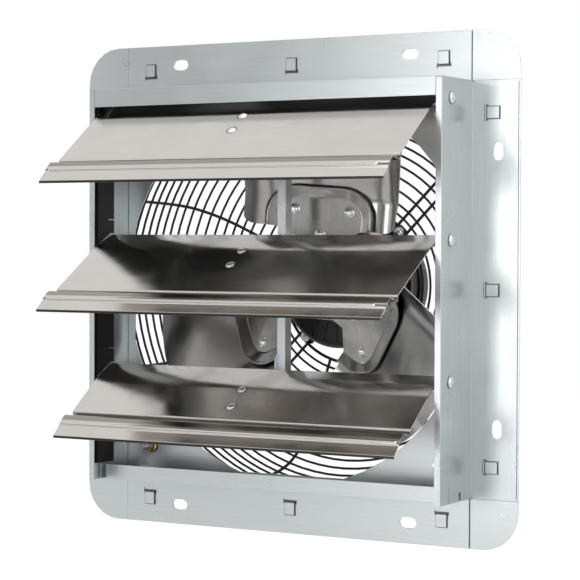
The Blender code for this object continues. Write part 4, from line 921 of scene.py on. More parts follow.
def finished_piece(name, bm, body, kind, replaced=(), sharp=38.0):
    """Makes a piece from a bmesh, gives it its finish and lets it ride on a body."""
    bmesh.ops.recalc_face_normals(bm, faces=bm.faces[:])
    piece = mesh_object(name, bm, material_for(kind))
    piece.data.shade_smooth()
    piece.data.set_sharp_from_angle(angle=math.radians(sharp))
    even = piece.modifiers.new("Even shading", "WEIGHTED_NORMAL")
    even.keep_sharp = True
    if replaced:
        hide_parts(*replaced)
    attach(piece, body)


def bevel_edges(bm, edges, offset, segments):
    """Rounds edges, with the rounding running the offset to each side."""
    bmesh.ops.bevel(
        bm,
        geom=edges,
        offset=offset,
        offset_type="OFFSET",
        affect="EDGES",
        segments=segments,
        profile=0.5,
        clamp_overlap=True,
        material=-1,
    )


def round_edges(bm, offset, least_degrees=50.0):
    """Rounds each edge of a solid that turns more than an angle."""
    least = math.radians(least_degrees)
    edges = [edge for edge in bm.edges if edge.is_manifold and edge.calc_face_angle() > least]
    bevel_edges(bm, edges, offset, segments=2)


def rounded_node(node, name, body, kind, offset):
    """A node's own shape, with its doubles merged, its flat faces joined and its edges rounded."""
    bm = bmesh.new()
    bm.from_mesh(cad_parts[node].data)
    bmesh.ops.remove_doubles(bm, verts=bm.verts[:], dist=0.005 * MM)
    bmesh.ops.dissolve_limit(bm, angle_limit=math.radians(1), verts=bm.verts[:], edges=bm.edges[:])
    round_edges(bm, offset)
    finished_piece(name, bm, body, kind, (node,), sharp=25.0)


def spin_round(bm, geom, steps):
    """Spins a section once round the Y axis."""
    centre, axis = (0, 0, 0), (0, 1, 0)
    bmesh.ops.spin(bm, geom=geom, cent=centre, axis=axis, angle=math.tau, steps=steps, use_merge=True)


def turned_shape(bm, profile, steps, matrix=None):
    """Spins (radius, depth) points round the Y axis into a closed shape, then places it."""
    points = [bm.verts.new((radius, depth, 0)) for radius, depth in profile]
    edges = [bm.edges.new(pair) for pair in zip(points, points[1:])]
    if profile[0][0] > 0:
        edges.append(bm.edges.new((points[-1], points[0])))
    spin_round(bm, points + edges, steps)
    touched = {vert for face in bm.faces for vert in face.verts}
    made = [vert for vert in bm.verts if vert in touched and not vert.tag]
    made = bmesh.ops.find_doubles(bm, verts=made, dist=0.001 * MM)["targetmap"]
    bmesh.ops.weld_verts(bm, targetmap=made)
    fresh = [vert for vert in bm.verts if not vert.tag]
    if matrix:
        bmesh.ops.transform(bm, matrix=matrix, verts=fresh)
    for vert in fresh:
        vert.tag = True


def in_mm(depth, *points):
    """(radius, depth) points given in millimetres, with their depths measured from another."""
    return [(radius * MM, depth + further * MM) for radius, further in points]


def arc_points(centre, radius, start, end, steps):
    """(radius, depth) points on an arc and its ends; turns are in degrees from the radial direction."""
    turns = [math.radians(start + (end - start) * step / steps) for step in range(steps + 1)]
    return [(centre[0] + radius * math.cos(turn), centre[1] + radius * math.sin(turn)) for turn in turns]


def dome_points(radius, height, base, direction, steps=6):
    """(radius, depth) points of a dome from its rim to its top."""
    turns = [math.pi / 2 * step / steps for step in range(steps)]
    rim = [(radius * math.cos(turn), base + direction * height * math.sin(turn)) for turn in turns]
    return rim + [(0, base + direction * height)]


def section_matrix(point, along, side):
    """Places a circle's plane across a path, with one axis kept to the given side."""
    ahead = Vector(along).normalized()
    across = (Vector(side) - ahead * ahead.dot(Vector(side))).normalized()
    matrix = Matrix((across, ahead.cross(across), ahead)).transposed().to_4x4()
    matrix.translation = point
    return matrix


def wire_section(bm, radius, matrix, filled):
    """A wire's round section, as its vertices and edges."""
    circle = bmesh.ops.create_circle(
        bm, cap_ends=filled, radius=radius, segments=WIRE_SIDES, matrix=matrix
    )["verts"]
    return circle, list({edge for vert in circle for edge in vert.link_edges})


def new_verts(grown):
    """The vertices that an extrusion made."""
    return [item for item in grown["geom"] if isinstance(item, bmesh.types.BMVert)]


def wire(bm, path, radius, side):
    """A round wire through the points of a path, closed at both ends."""
    path = [Vector(point) for point in path]
    places = []
    for index, point in enumerate(path):
        ahead = path[min(index + 1, len(path) - 1)] - path[max(index - 1, 0)]
        places.append(section_matrix(point, ahead, side))
    _, loop = wire_section(bm, radius, places[0], filled=True)
    for before, here in zip(places, places[1:]):
        grown = bmesh.ops.extrude_edge_only(bm, edges=loop)
        verts = new_verts(grown)
        bmesh.ops.transform(bm, matrix=here @ before.inverted(), verts=verts)
        loop = [item for item in grown["geom"] if isinstance(item, bmesh.types.BMEdge)]
        loop = [edge for edge in loop if all(vert in verts for vert in edge.verts)]
    bmesh.ops.holes_fill(bm, edges=loop, sides=WIRE_SIDES)


def wire_ring(bm, radius, depth, wire_radius, steps):
    """A closed ring of round wire about the Y axis."""
    place = Matrix.Translation((radius, depth, 0))
    circle, edges = wire_section(bm, wire_radius, place, filled=False)
    spin_round(bm, circle + edges, steps)


def extrude_faces(bm, faces, move):
    """Extrudes faces along a move into a closed solid."""
    grown = bmesh.ops.extrude_face_region(bm, geom=faces)
    bmesh.ops.translate(bm, verts=new_verts(grown), vec=move)


def prism_shape(bm, outline, low, high, matrix):
    """An outline in a local X-Y plane, extruded from low to high along local Z, then placed."""
    corners = [bm.verts.new(matrix @ Vector((u, v, low))) for u, v in outline]
    extrude_faces(bm, [bm.faces.new(corners)], matrix.to_3x3() @ Vector((0, 0, high - low)))


def hexagon(width):
    """Corners of a hexagon of the given width across flats."""
    reach = width / 2 / math.cos(math.pi / 6)
    return [(reach * math.cos(math.pi / 3 * step), reach * math.sin(math.pi / 3 * step)) for step in range(6)]


def node_middle(node):
    low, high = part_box(node)
    return (low + high) / 2


# Sheet metal.


class FAN_OT_sheet_metal(bpy.types.Operator):
    """Rounds the edges of the mounting plate and the four channels"""

    bl_idname = "fan.sheet_metal"
    bl_label = "Sheet metal"

    def execute(self, context):
        offset = context.scene.fan_sheets.edge_rounding
        rounded_node("mounting_plate", "mounting_plate_sheet", "frame", "Galvanised across", offset)
        for side in ("top", "bottom", *SIDES):
            kind = "Galvanised upright" if side in SIDES else "Galvanised across"
            rounded_node(f"{side}_channel", f"{side}_channel_folded", "frame", kind, offset)
        return {"FINISHED"}


class FAN_OT_pivot_rails(bpy.types.Operator):
    """Moulded rails that the shutter pins turn in"""

    bl_idname = "fan.pivot_rails"
    bl_label = "Pivot rails"

    def execute(self, context):
        for side in SIDES:
            name = f"{side}_pivot_rail"
            rounded_node(name, f"{name}_moulding", "frame", "Black moulded plastic", RAIL_ROUNDING)
        return {"FINISHED"}


# Shutters and their linkage.


def shutter_matrix(level):
    """Takes a shutter's own frame, forward along -Y, to its place at rest."""
    place = Matrix.Translation((0, -PIVOT_DEPTH, PIVOT_HEIGHTS[level]))
    return place @ Matrix.Rotation(SHUTTER_ANGLES[level], 4, "X")


class FAN_OT_shutters(bpy.types.Operator):
    """Shutters with rounded bends, a hemmed lip and a pressed rib"""

    bl_idname = "fan.shutters"
    bl_label = "Shutters"

    def sheet(self, level, settings):
        """A folded sheet from its rear edge to its lip, which keeps how far forward each point lies."""
        flat = SHUTTER_FLATS[level]
        section = [SHUTTER_REAR_EDGE, (REAR_BEND_PLACE, SHUTTER_RISE), (flat, SHUTTER_RISE)]
        section += [(flat + further, height) for further, height in LIP_BENDS]
        bm = bmesh.new()
        points = [bm.verts.new((-SHUTTER_HALF_WIDTH, -forward, up)) for forward, up in section]
        edges = [bm.edges.new(pair) for pair in zip(points, points[1:])]
        grown = bmesh.ops.extrude_edge_only(bm, edges=edges)
        bmesh.ops.translate(bm, verts=new_verts(grown), vec=(SHUTTER_HALF_WIDTH * 2, 0, 0))
        rear, others = [], []
        for edge in bm.edges:
            if len(edge.link_faces) == 2:
                at_rear = all(abs(vert.co.y + REAR_BEND_PLACE) < 0.1 * MM for vert in edge.verts)
                (rear if at_rear else others).append(edge)
        bevel_edges(bm, others, settings.bend_rounding, BEND_STEPS)
        bevel_edges(bm, rear, REAR_BEND_ROUNDING, REAR_BEND_STEPS)
        bmesh.ops.recalc_face_normals(bm, faces=bm.faces[:])
        if sum(face.normal.z for face in bm.faces) < 0:
            bmesh.ops.reverse_faces(bm, faces=bm.faces[:])
        for vert in new_verts(bmesh.ops.extrude_face_region(bm, geom=bm.faces[:])):
            vert.co -= vert.normal * settings.sheet_thickness
        reach = bm.verts.layers.float.new("reach")
        forward = bm.verts.layers.float.new("forward")
        for vert in bm.verts:
            vert[forward] = -vert.co.y
            vert[reach] = -vert.co.y - flat
        return bm

    def rib(self, level):
        """A half-sunk bar with round ends along the lip's crest."""
        bm = bmesh.new()
        bmesh.ops.create_uvsphere(bm, u_segments=16, v_segments=12, radius=RIB_RADIUS)
        bmesh.ops.rotate(bm, verts=bm.verts[:], matrix=Matrix.Rotation(math.pi / 2, 3, "Y"))
        left, right = (SHUTTER_HALF_WIDTH - inset - RIB_RADIUS for inset in RIB_INSETS[level])
        for vert in bm.verts:
            vert.co.x += right if vert.co.x > 0 else -left
            vert.co.z *= RIB_HEIGHT_SHARE
        (rear, rear_height), (front, front_height) = LIP_BENDS[2:4]
        lean = Matrix.Rotation(math.atan2(rear_height - front_height, front - rear), 4, "X")
        place = Matrix.Translation((0, -SHUTTER_FLATS[level] - RIB_PLACE, RIB_HEIGHT))
        bmesh.ops.transform(bm, matrix=place @ lean, verts=bm.verts[:])
        return bm

    def execute(self, context):
        settings = context.scene.fan_shutters
        for level in LEVELS:
            for part, bm, replaced in (
                ("sheet", self.sheet(level, settings), (f"{level}_shutter",)),
                ("rib", self.rib(level), ()),
            ):
                bmesh.ops.transform(bm, matrix=shutter_matrix(level), verts=bm.verts[:])
                name = f"{level}_shutter_{part}"
                finished_piece(name, bm, f"{level}_flap", "Bright rolled aluminium", replaced)
        return {"FINISHED"}


class FAN_OT_linkage(bpy.types.Operator):
    """Levers under the shutters and the tie bar behind them"""

    bl_idname = "fan.linkage"
    bl_label = "Linkage"

    def execute(self, context):
        offset = context.scene.fan_sheets.edge_rounding
        for level in LEVELS:
            rounded_node(f"{level}_lever", f"{level}_lever_plate", f"{level}_flap", "Zinc plate", offset)
        rounded_node("tie_bar", "tie_bar_section", "linkage", "Galvanised upright", TIE_BAR_ROUNDING)
        return {"FINISHED"}


class FAN_OT_pivot_pins(bpy.types.Operator):
    """Cranked pins at the shutters' ends, with domed heads outside the walls"""

    bl_idname = "fan.pivot_pins"
    bl_label = "Pivot pins"

    def execute(self, context):
        profile = in_mm(0, (0, 0.25), (4.95, 0.25), (4.95, 0.5))
        profile += dome_points(4.7 * MM, 1.65 * MM, 0.55 * MM, 1)
        for level in LEVELS:
            for side, outward in zip(SIDES, (-1, 1)):
                name = f"{level}_{side}_pivot_pin"
                rounded_node(name, f"{name}_crank", f"{level}_flap", "Zinc plate", PIN_ROUNDING)
                low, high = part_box(name)
                tip = high.x if outward > 0 else low.x
                seat = tip - outward * PIN_HEAD_SETBACK
                bm = bmesh.new()
                turned_shape(bm, profile, SHAFT_FACETS, Matrix.Rotation(-outward * math.pi / 2, 4, "Z"))
                bmesh.ops.translate(bm, verts=bm.verts[:], vec=(seat, -PIVOT_DEPTH, PIVOT_HEIGHTS[level]))
                finished_piece(f"{name}_head", bm, f"{level}_flap", "Zinc plate")
        return {"FINISHED"}


def rivet_shape(matrix, head, rise, shank, length, tail, tail_rise):
    """A rivet along Y: a stepped domed head in front, its shank and the formed tail behind."""
    dome = dome_points(head * 0.82, rise * 0.72, base=-rise * 0.28, direction=-1)
    profile = [*reversed(dome), (head * 0.95, -rise * 0.22), (head, -rise * 0.08), (head, 0)]
    profile += [(shank, 0), (shank, length)]
    profile += dome_points(tail, tail_rise, base=length, direction=1, steps=4)
    bm = bmesh.new()
    turned_shape(bm, profile, BOLT_FACETS, matrix)
    return bm


class FAN_OT_rivets(bpy.types.Operator):
    """Rivets through the shutters and through the blades"""

    bl_idname = "fan.rivets"
    bl_label = "Rivets"

    def execute(self, context):
        for level in LEVELS:
            for end, reach in LEVER_RIVETS.items():
                place = Matrix.Translation((LEVER_RIVET_X, -reach, SHUTTER_RISE))
                bm = rivet_shape(shutter_matrix(level) @ place @ Z_TO_BACK, **SHUTTER_RIVET)
                node = f"{level}_{end}_rivet"
                finished_piece(f"{node}_head", bm, f"{level}_flap", "Zinc plate", (node,))
        for number, degrees in enumerate(ARM_DEGREES, 1):
            for spot, (along, across) in BLADE_RIVETS.items():
                seat = Matrix.Translation((along, HUB_DEPTH - SPIDER_TILT * across, across))
                seat = seat @ Matrix.Rotation(math.atan(SPIDER_TILT), 4, "X")
                bm = rivet_shape(arm_matrix(degrees) @ seat, **BLADE_RIVET)
                node = f"blade_{number}_{spot}_rivet"
                finished_piece(f"{node}_head", bm, "fan_wheel", "Zinc plate", (node,))
        return {"FINISHED"}


# Corner bolts and guard.


def thread_profile(radius, start, end):
    """(radius, depth) points of a thread's ridges between two depths, chamfered at the start."""
    points = [(0, start), (radius - BOLT_THREAD_DEPTH * 2, start)]
    for turn in range(int((end - start) / BOLT_THREAD_PITCH)):
        depth = start + BOLT_THREAD_DEPTH + turn * BOLT_THREAD_PITCH
        points += [(radius - BOLT_THREAD_DEPTH, depth), (radius, depth + BOLT_THREAD_PITCH / 2)]
    return points


class FAN_OT_corner_bolts(bpy.types.Operator):
    """Threaded bolts, flanged nuts and rubber washers at the plate's corners"""

    bl_idname = "fan.corner_bolts"
    bl_label = "Corner bolts"

    def bolt(self, place):
        """A threaded bolt with its flange and hexagon behind the plate."""
        bm = bmesh.new()
        profile = thread_profile(BOLT_RADIUS, BOLT_TIP, 3.2 * MM)
        profile += in_mm(0, (3.0, 3.3), (6.9, 3.3), (7.4, 3.6), (7.4, 4.2), (0, 4.2))
        turned_shape(bm, profile, BOLT_FACETS, place)
        prism_shape(bm, hexagon(BOLT_HEAD_WIDTH), *BOLT_HEAD_DEPTHS, place @ Z_TO_BACK)
        round_edges(bm, BOLT_ROUNDING, HEXAGON_DEGREES)
        return bm

    def nut(self, place):
        """A hexagon nut in front of its own narrow flange."""
        bm = bmesh.new()
        prism_shape(bm, hexagon(NUT_WIDTH), *NUT_DEPTHS, place @ Z_TO_FRONT)
        round_edges(bm, NUT_ROUNDING, HEXAGON_DEGREES)
        profile = in_mm(0, (3.2, -1.4), (5.9, -1.4), (5.6, -2.2), (4.4, -2.6), (3.2, -2.6))
        turned_shape(bm, profile, BOLT_FACETS, place)
        return bm

    def washer(self, place):
        bm = bmesh.new()
        profile = in_mm(0, (3.2, -0.3), (5.9, -0.3), (6.0, -0.6), (6.0, -1.1), (5.9, -1.4), (3.2, -1.4))
        turned_shape(bm, profile, BOLT_FACETS, place)
        return bm

    def execute(self, context):
        for level, side_z in (("top", 1), ("bottom", -1)):
            for side, side_x in zip(SIDES, (-1, 1)):
                corner = f"{level}_{side}_corner"
                bolt, nut = f"{corner}_bolt", f"{corner}_nut"
                place = Matrix.Translation((side_x * CORNER_BOLT_SPACING, 0, side_z * CORNER_BOLT_SPACING))
                finished_piece(f"{bolt}_threaded", self.bolt(place), "frame", "Zinc plate", (bolt,))
                finished_piece(f"{nut}_hexagon", self.nut(place), "frame", "Yellow zinc", (nut,))
                finished_piece(f"{corner}_washer", self.washer(place), "frame", "Rubber")
        return {"FINISHED"}


def guard_rings():
    """(radius, depth) of each ring, from the base ring to the ring round the motor."""
    side = [(GUARD_BASE_RING * radius, GUARD_BACK * depth) for radius, depth in GUARD_RING_SHARES]
    last = side[-1][0]
    pitch = (last - GUARD_INNER_RING) / GUARD_BACK_RINGS
    back = [(last - pitch * count, GUARD_BACK) for count in range(1, GUARD_BACK_RINGS + 1)]
    return [(GUARD_BASE_RING, GUARD_BASE_DEPTH), *side, *back]


def smooth_path(points, between):
    """Points on a smooth curve through the given points."""
    path = []
    for index in range(len(points) - 1):
        before = Vector(points[max(index - 1, 0)])
        here, after = Vector(points[index]), Vector(points[index + 1])
        beyond = Vector(points[min(index + 2, len(points) - 1)])
        slope = after - before
        bend = 2 * before - 5 * here + 4 * after - beyond
        twist = 3 * here - before - 3 * after + beyond
        for step in range(between):
            t = step / between
            path.append(0.5 * (2 * here + slope * t + bend * t**2 + twist * t**3))
    return [*path, Vector(points[-1])]


class FAN_OT_guard(bpy.types.Operator):
    """Welded wire guard: rings, rods, paired rods and hairpin feet"""

    bl_idname = "fan.guard"
    bl_label = "Wire guard"

    def rods(self, bm, radius):
        """Single rods between the corners, and a pair with a hairpin foot at each corner."""
        meridian = smooth_path(guard_rings(), 2)
        pair = (-GUARD_ROD_PAIR_HALF, GUARD_ROD_PAIR_HALF)
        places = [(degrees, (0,)) for degrees in GUARD_SIDE_ROD_DEGREES]
        places += [(degrees, pair) for degrees in GUARD_CORNER_DEGREES]
        for degrees, offsets in places:
            turn = math.radians(degrees)
            out = Vector((math.cos(turn), 0, math.sin(turn)))
            side = Vector((-out.z, 0, out.x))
            for offset in offsets:
                path = [
                    out * math.sqrt(reach**2 - offset**2) + side * offset + Vector((0, depth, 0))
                    for reach, depth in meridian
                ]
                wire(bm, path, radius, side)
            if offsets == pair:
                self.foot(bm, out, side, radius)

    def foot(self, bm, out, side, radius):
        """A hairpin from the base ring round a corner bolt."""
        base = Vector((0, GUARD_BASE_DEPTH, 0))
        bend = base + out * math.hypot(CORNER_BOLT_SPACING, CORNER_BOLT_SPACING)
        start = base + out * (GUARD_BASE_RING - HAIRPIN_OVERLAP)
        path = [start - side * GUARD_ROD_PAIR_HALF]
        for step in range(HAIRPIN_STEPS + 1):
            turn = math.pi * (step / HAIRPIN_STEPS - 0.5)
            path.append(bend + (out * math.cos(turn) + side * math.sin(turn)) * GUARD_ROD_PAIR_HALF)
        path.append(start + side * GUARD_ROD_PAIR_HALF)
        wire(bm, path, radius * HAIRPIN_WIRE_SHARE, (0, 1, 0))

    def execute(self, context):
        settings = context.scene.fan_guard
        bm = bmesh.new()
        *rings, inner_ring = guard_rings()
        for ring in rings:
            wire_ring(bm, *ring, settings.ring_wire / 2, settings.ring_steps)
        wire_ring(bm, *inner_ring, settings.rod_wire / 2, settings.ring_steps)
        self.rods(bm, settings.rod_wire / 2)
        finished_piece("guard_wires", bm, "frame", "Black wire coat", ("wire_guard",))
        return {"FINISHED"}


# Motor.


class FAN_OT_motor(bpy.types.Operator):
    """Motor casing, its mounting plate and bolts, and the grommet for its lead"""

    bl_idname = "fan.motor"
    bl_label = "Motor"

    def front_cap(self, facets):
        low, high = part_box("motor_front_cap")
        front = low.y + MOTOR_BOSS_HEIGHT
        corner = (MOTOR_RADIUS - CAP_ROUNDING, front + CAP_ROUNDING)
        profile = in_mm(low.y, (4.3, 0.6), (5.2, 0), (13.0, 0), (14.0, 1.0))
        profile += in_mm(front, (14.0, -0.8), (15.2, 0), (46.0, 0))
        profile += arc_points(corner, CAP_ROUNDING, start=-75, end=0, steps=6)
        profile += [(MOTOR_RADIUS, high.y), (4.3 * MM, high.y)]
        bm = bmesh.new()
        turned_shape(bm, profile, facets)
        self.vents(bm, front, 22.0 * MM, -1)
        return bm

    def rear_cap(self, facets):
        low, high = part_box("motor_rear_cap")
        back = high.y - MOTOR_BOSS_HEIGHT
        corner = (MOTOR_RADIUS - CAP_ROUNDING, back - CAP_ROUNDING)
        rim_end = low.y + MOTOR_RIM_WIDTH
        profile = [(0, low.y), (MOTOR_RIM_RADIUS - RIM_EDGE, low.y), (MOTOR_RIM_RADIUS, low.y + RIM_EDGE)]
        profile += [(MOTOR_RIM_RADIUS, rim_end - RIM_EDGE), (MOTOR_RIM_RADIUS - RIM_EDGE, rim_end)]
        profile += [(MOTOR_RADIUS, rim_end + RIM_EDGE)]
        profile += arc_points(corner, CAP_ROUNDING, start=0, end=75, steps=6)
        profile += in_mm(back, (46.0, 0), (15.4, 0), (14.0, 1.2))
        profile += in_mm(high.y, (14.0, -1.0), (13.0, 0), (6.0, 0), (5.4, -0.6), (0, -0.6))
        bm = bmesh.new()
        turned_shape(bm, profile, facets)
        self.vents(bm, back, 24.0 * MM, 1)
        return bm

    def vents(self, bm, depth, least_radius, direction):
        """Sunk slots in a cap's flat face."""
        bmesh.ops.recalc_face_normals(bm, faces=bm.faces[:])
        ring = []
        for face in bm.faces:
            middle = face.calc_center_median()
            on_face = face.normal.y * direction > 0.99 and abs(middle.y - depth) < 0.2 * MM
            if on_face and math.hypot(middle.x, middle.z) > least_radius:
                ring.append((math.atan2(middle.z, middle.x), face))
        ring.sort(key=lambda place: place[0])
        chosen = [face for index, (_, face) in enumerate(ring) if index % VENT_SPACING < VENT_WIDTH]
        bmesh.ops.inset_region(bm, faces=chosen, thickness=VENT_INSET, depth=0)
        bmesh.ops.inset_region(bm, faces=chosen, thickness=0.4 * MM, depth=-VENT_DEPTH)

    def stator(self, facets):
        """The stator's stack between two rims, with shallow grooves round it."""
        low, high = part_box("motor_stator")
        start, end = low.y + MOTOR_RIM_WIDTH, high.y - MOTOR_RIM_WIDTH
        profile = [(STATOR_BORE, low.y), (MOTOR_RIM_RADIUS - RIM_EDGE, low.y)]
        profile += [(MOTOR_RIM_RADIUS, low.y + RIM_EDGE), (MOTOR_RIM_RADIUS, start - RIM_EDGE)]
        profile += [(MOTOR_RIM_RADIUS - RIM_EDGE, start)]
        pitch = (end - start) / STATOR_GROOVES
        for groove in range(STATOR_GROOVES):
            depth = start + groove * pitch
            for sunk, share in STATOR_GROOVE:
                profile.append((MOTOR_RADIUS - sunk, depth + pitch * share))
        profile += [(MOTOR_RIM_RADIUS - RIM_EDGE, end), (MOTOR_RIM_RADIUS, end + RIM_EDGE)]
        profile += [(MOTOR_RIM_RADIUS, high.y - RIM_EDGE), (MOTOR_RIM_RADIUS - RIM_EDGE, high.y)]
        profile += [(STATOR_BORE, high.y)]
        bm = bmesh.new()
        turned_shape(bm, profile, facets)
        return bm

    def fins(self, count):
        """Cooling fins round the rear cap's wall."""
        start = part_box("motor_rear_cap")[0].y + MOTOR_RIM_WIDTH - 0.2 * MM
        foot, top = MOTOR_RADIUS - 1.0 * MM, MOTOR_RADIUS + FIN_HEIGHT
        outline = [(foot, start), (top, start), (top, start + 8.0 * MM), (foot, start + 12.0 * MM)]
        bm = bmesh.new()
        for number in range(count):
            turn = math.tau * (number + 0.5) / count
            place = Matrix.Rotation(-turn, 4, "Y")
            prism_shape(bm, outline, -FIN_HALF_THICKNESS, FIN_HALF_THICKNESS, place)
        round_edges(bm, FIN_ROUNDING)
        return bm

    def through_bolts(self):
        """Four small screw heads on the rear cap."""
        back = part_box("motor_rear_cap")[1].y - MOTOR_BOSS_HEIGHT
        profile = in_mm(back, (0, -0.5), (2.6, -0.5)) + dome_points(2.6 * MM, 1.4 * MM, back, 1)
        bm = bmesh.new()
        for degrees in GUARD_CORNER_DEGREES:
            turn = math.radians(degrees)
            place = Vector((math.cos(turn), 0, math.sin(turn))) * THROUGH_BOLT_REACH
            turned_shape(bm, profile, SCREW_FACETS, Matrix.Translation(place))
        return bm

    def mounting_bolt(self, node):
        """A domed bolt whose washer clamps the guard's inner ring."""
        low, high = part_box("upper_right_motor_bolt")
        middle = node_middle(node)
        place = Matrix.Translation((middle.x, 0, middle.z))
        profile = list(reversed(dome_points(3.5 * MM, 1.4 * MM, low.y + 1.4 * MM, -1)))
        profile += in_mm(low.y, (3.9, 1.5), (3.9, 1.8), (4.5, 1.8), (4.8, 2.0), (4.8, 2.4), (2.0, 2.4))
        profile += in_mm(high.y, (2.0, 0), (0, 0))
        bm = bmesh.new()
        turned_shape(bm, profile, BOLT_FACETS, place)
        prism_shape(bm, hexagon(6.6 * MM), high.y - 2.8 * MM, high.y - 0.6 * MM, place @ Z_TO_BACK)
        return bm

    def grommet(self):
        low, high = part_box("cable_grommet")
        middle = node_middle("cable_grommet")
        profile = in_mm(low.y, (0, 0), (6.4, 0), (6.5, 0.5), (6.4, 1.6), (5.3, 2.2), (5.3, 3.0), (6.0, 3.5))
        profile += in_mm(high.y, (5.4, -0.6), (4.8, 0), (3.6, 0), (3.2, -0.5))
        profile += in_mm(low.y, (3.2, 2.0), (0, 2.0))
        bm = bmesh.new()
        turned_shape(bm, profile, SHAFT_FACETS, Matrix.Translation((middle.x, 0, middle.z)))
        return bm

    def execute(self, context):
        settings = context.scene.fan_motor
        facets = settings.facets
        enamel = ("frame", "Black motor enamel")
        finished_piece("motor_front_shell", self.front_cap(facets), *enamel, ("motor_front_cap",))
        finished_piece("motor_stator_stack", self.stator(facets), *enamel, ("motor_stator",))
        finished_piece("motor_rear_shell", self.rear_cap(facets), *enamel, ("motor_rear_cap",))
        finished_piece("motor_cooling_fins", self.fins(settings.cooling_fins), *enamel)
        finished_piece("motor_rear_screws", self.through_bolts(), "frame", "Zinc plate")
        rounded_node(
            "motor_mounting_plate", "motor_bracket", "frame", "Black wire coat", MOTOR_PLATE_ROUNDING
        )
        for level in ("upper", "lower"):
            for side in SIDES:
                node = f"{level}_{side}_motor_bolt"
                bolt = self.mounting_bolt(node)
                finished_piece(f"{node}_head", bolt, "frame", "Zinc plate", (node,), sharp=30.0)
        finished_piece("motor_grommet", self.grommet(), "frame", "Rubber", ("cable_grommet",))
        return {"FINISHED"}


# Fan wheel.


def arm_matrix(degrees):
    """Takes X along an arm and Z across it to their place on the fan."""
    return Matrix.Rotation(-math.radians(degrees), 4, "Y")


def arm_reach(delta, inset):
    """How far an arm with round corners reaches at an angle from its own line, inset all round."""
    half_width, reach, corner = SPIDER_HALF_WIDTH - inset, SPIDER_REACH - inset, SPIDER_CORNER - inset
    slant = abs(delta)
    if reach * math.tan(slant) <= half_width - corner:
        return reach / math.cos(slant)
    if half_width / math.tan(slant) <= reach - corner:
        return half_width / math.sin(slant)
    along = reach - corner
    across = half_width - corner
    toward = along * math.cos(slant) + across * math.sin(slant)
    return toward + math.sqrt(corner**2 - (along**2 + across**2 - toward**2))


def tilt_depth(along, across):
    """Front face of a spider arm: flat round the shaft, tilted further out."""
    outward = (math.hypot(along, across) - TILT_START) / (TILT_END - TILT_START)
    sideways = (TILT_VALLEY - abs(math.atan2(across, along))) / TILT_VALLEY_WIDTH
    share = min(max(outward, 0), 1) * min(max(sideways, 0), 1)
    return HUB_DEPTH - SPIDER_TILT * across * share


class FAN_OT_hub_spider(bpy.types.Operator):
    """Pressed three-armed hub plate with a raised rim"""

    bl_idname = "fan.hub_spider"
    bl_label = "Hub spider"

    def ring_radius(self, ring, delta):
        """(radius, rise) of one ring of the plate at an angle from its arm."""
        if ring < len(SPIDER_RIM):
            inset, rise = SPIDER_RIM[ring]
            return arm_reach(delta, inset), rise
        border = arm_reach(delta, SPIDER_RIM[-1][0])
        inner = min(TILT_END, border * 0.97)
        inside = [border + (inner - border) * share for share in SPIDER_PLATE_SHARES]
        inside += [inner, (inner + TILT_START) / 2, TILT_START, HUB_HOLE_RADIUS]
        return inside[ring - len(SPIDER_RIM)], 0

    def open_gaps(self, bm):
        """Cuts the open spaces between the arms out of the plate."""
        half = [Vector((out, 0, across)) * SPIDER_REACH for out, across in SPIDER_GAP_SHARES]
        outline = half + [Vector((corner.x, 0, -corner.z)) for corner in reversed(half)]
        for degrees in ARM_DEGREES:
            matrix = arm_matrix(degrees + 60)
            middle = matrix @ Vector((SPIDER_REACH / 2, 0, 0))
            corners = [matrix @ corner for corner in outline]
            walls = []
            for start, end in zip(corners, [*corners[1:], corners[0]]):
                outward = (end - start).cross(Vector((0, 1, 0)))
                if outward.dot(start - middle) < 0:
                    outward.negate()
                walls.append((start, outward))
                near = [face for face in bm.faces if face.calc_center_median().angle(middle) < GAP_REACH]
                parts = {part for face in near for part in (*face.verts, *face.edges)}
                bmesh.ops.bisect_plane(bm, geom=near + list(parts), dist=0, plane_co=start, plane_no=outward)
            inside = [
                face
                for face in bm.faces
                if all((face.calc_center_median() - place).dot(outward) < 0 for place, outward in walls)
            ]
            bmesh.ops.delete(bm, geom=inside, context="FACES")

    def execute(self, context):
        rings = len(SPIDER_RIM) + len(SPIDER_PLATE_SHARES) + 4
        bm = bmesh.new()
        line = [bm.verts.new((ring + 1, 0, 0)) for ring in range(rings)]
        edges = [bm.edges.new(pair) for pair in zip(line, line[1:])]
        spin_round(bm, line + edges, context.scene.fan_wheel.spider_steps)
        spacing = math.tau / len(ARM_DEGREES)
        for vert in bm.verts:
            ring = rings - round(math.hypot(vert.co.x, vert.co.z))
            turn = math.atan2(vert.co.z, vert.co.x)
            delta = (turn - math.radians(ARM_DEGREES[0]) + spacing / 2) % spacing - spacing / 2
            radius, rise = self.ring_radius(ring, delta)
            depth = tilt_depth(radius * math.cos(delta), radius * math.sin(delta)) - rise
            vert.co = (radius * math.cos(turn), depth, radius * math.sin(turn))
        self.open_gaps(bm)
        extrude_faces(bm, bm.faces[:], (0, SPIDER_THICKNESS, 0))
        name, kind = "hub_spider_pressing", "Polished pressed steel"
        finished_piece(name, bm, "fan_wheel", kind, ("hub_spider",), sharp=60.0)
        return {"FINISHED"}


def blade_depth(along, across):
    """Front face of a blade: flat against its arm, curling forward outside it."""
    depth = HUB_DEPTH + SPIDER_THICKNESS + BLADE_GAP - SPIDER_TILT * across
    edge, curl = BLADE_TRAILING_EDGE, BLADE_TRAILING_CURL
    if across > 0:
        edge, curl = BLADE_LEADING_EDGE, BLADE_LEADING_CURL
    out = max(abs(across) - BLADE_FLAT_HALF, 0) / (edge - BLADE_FLAT_HALF)
    return depth - curl * out**2 - BLADE_SWEEP * max(along - BLADE_FLAT_REACH, 0)


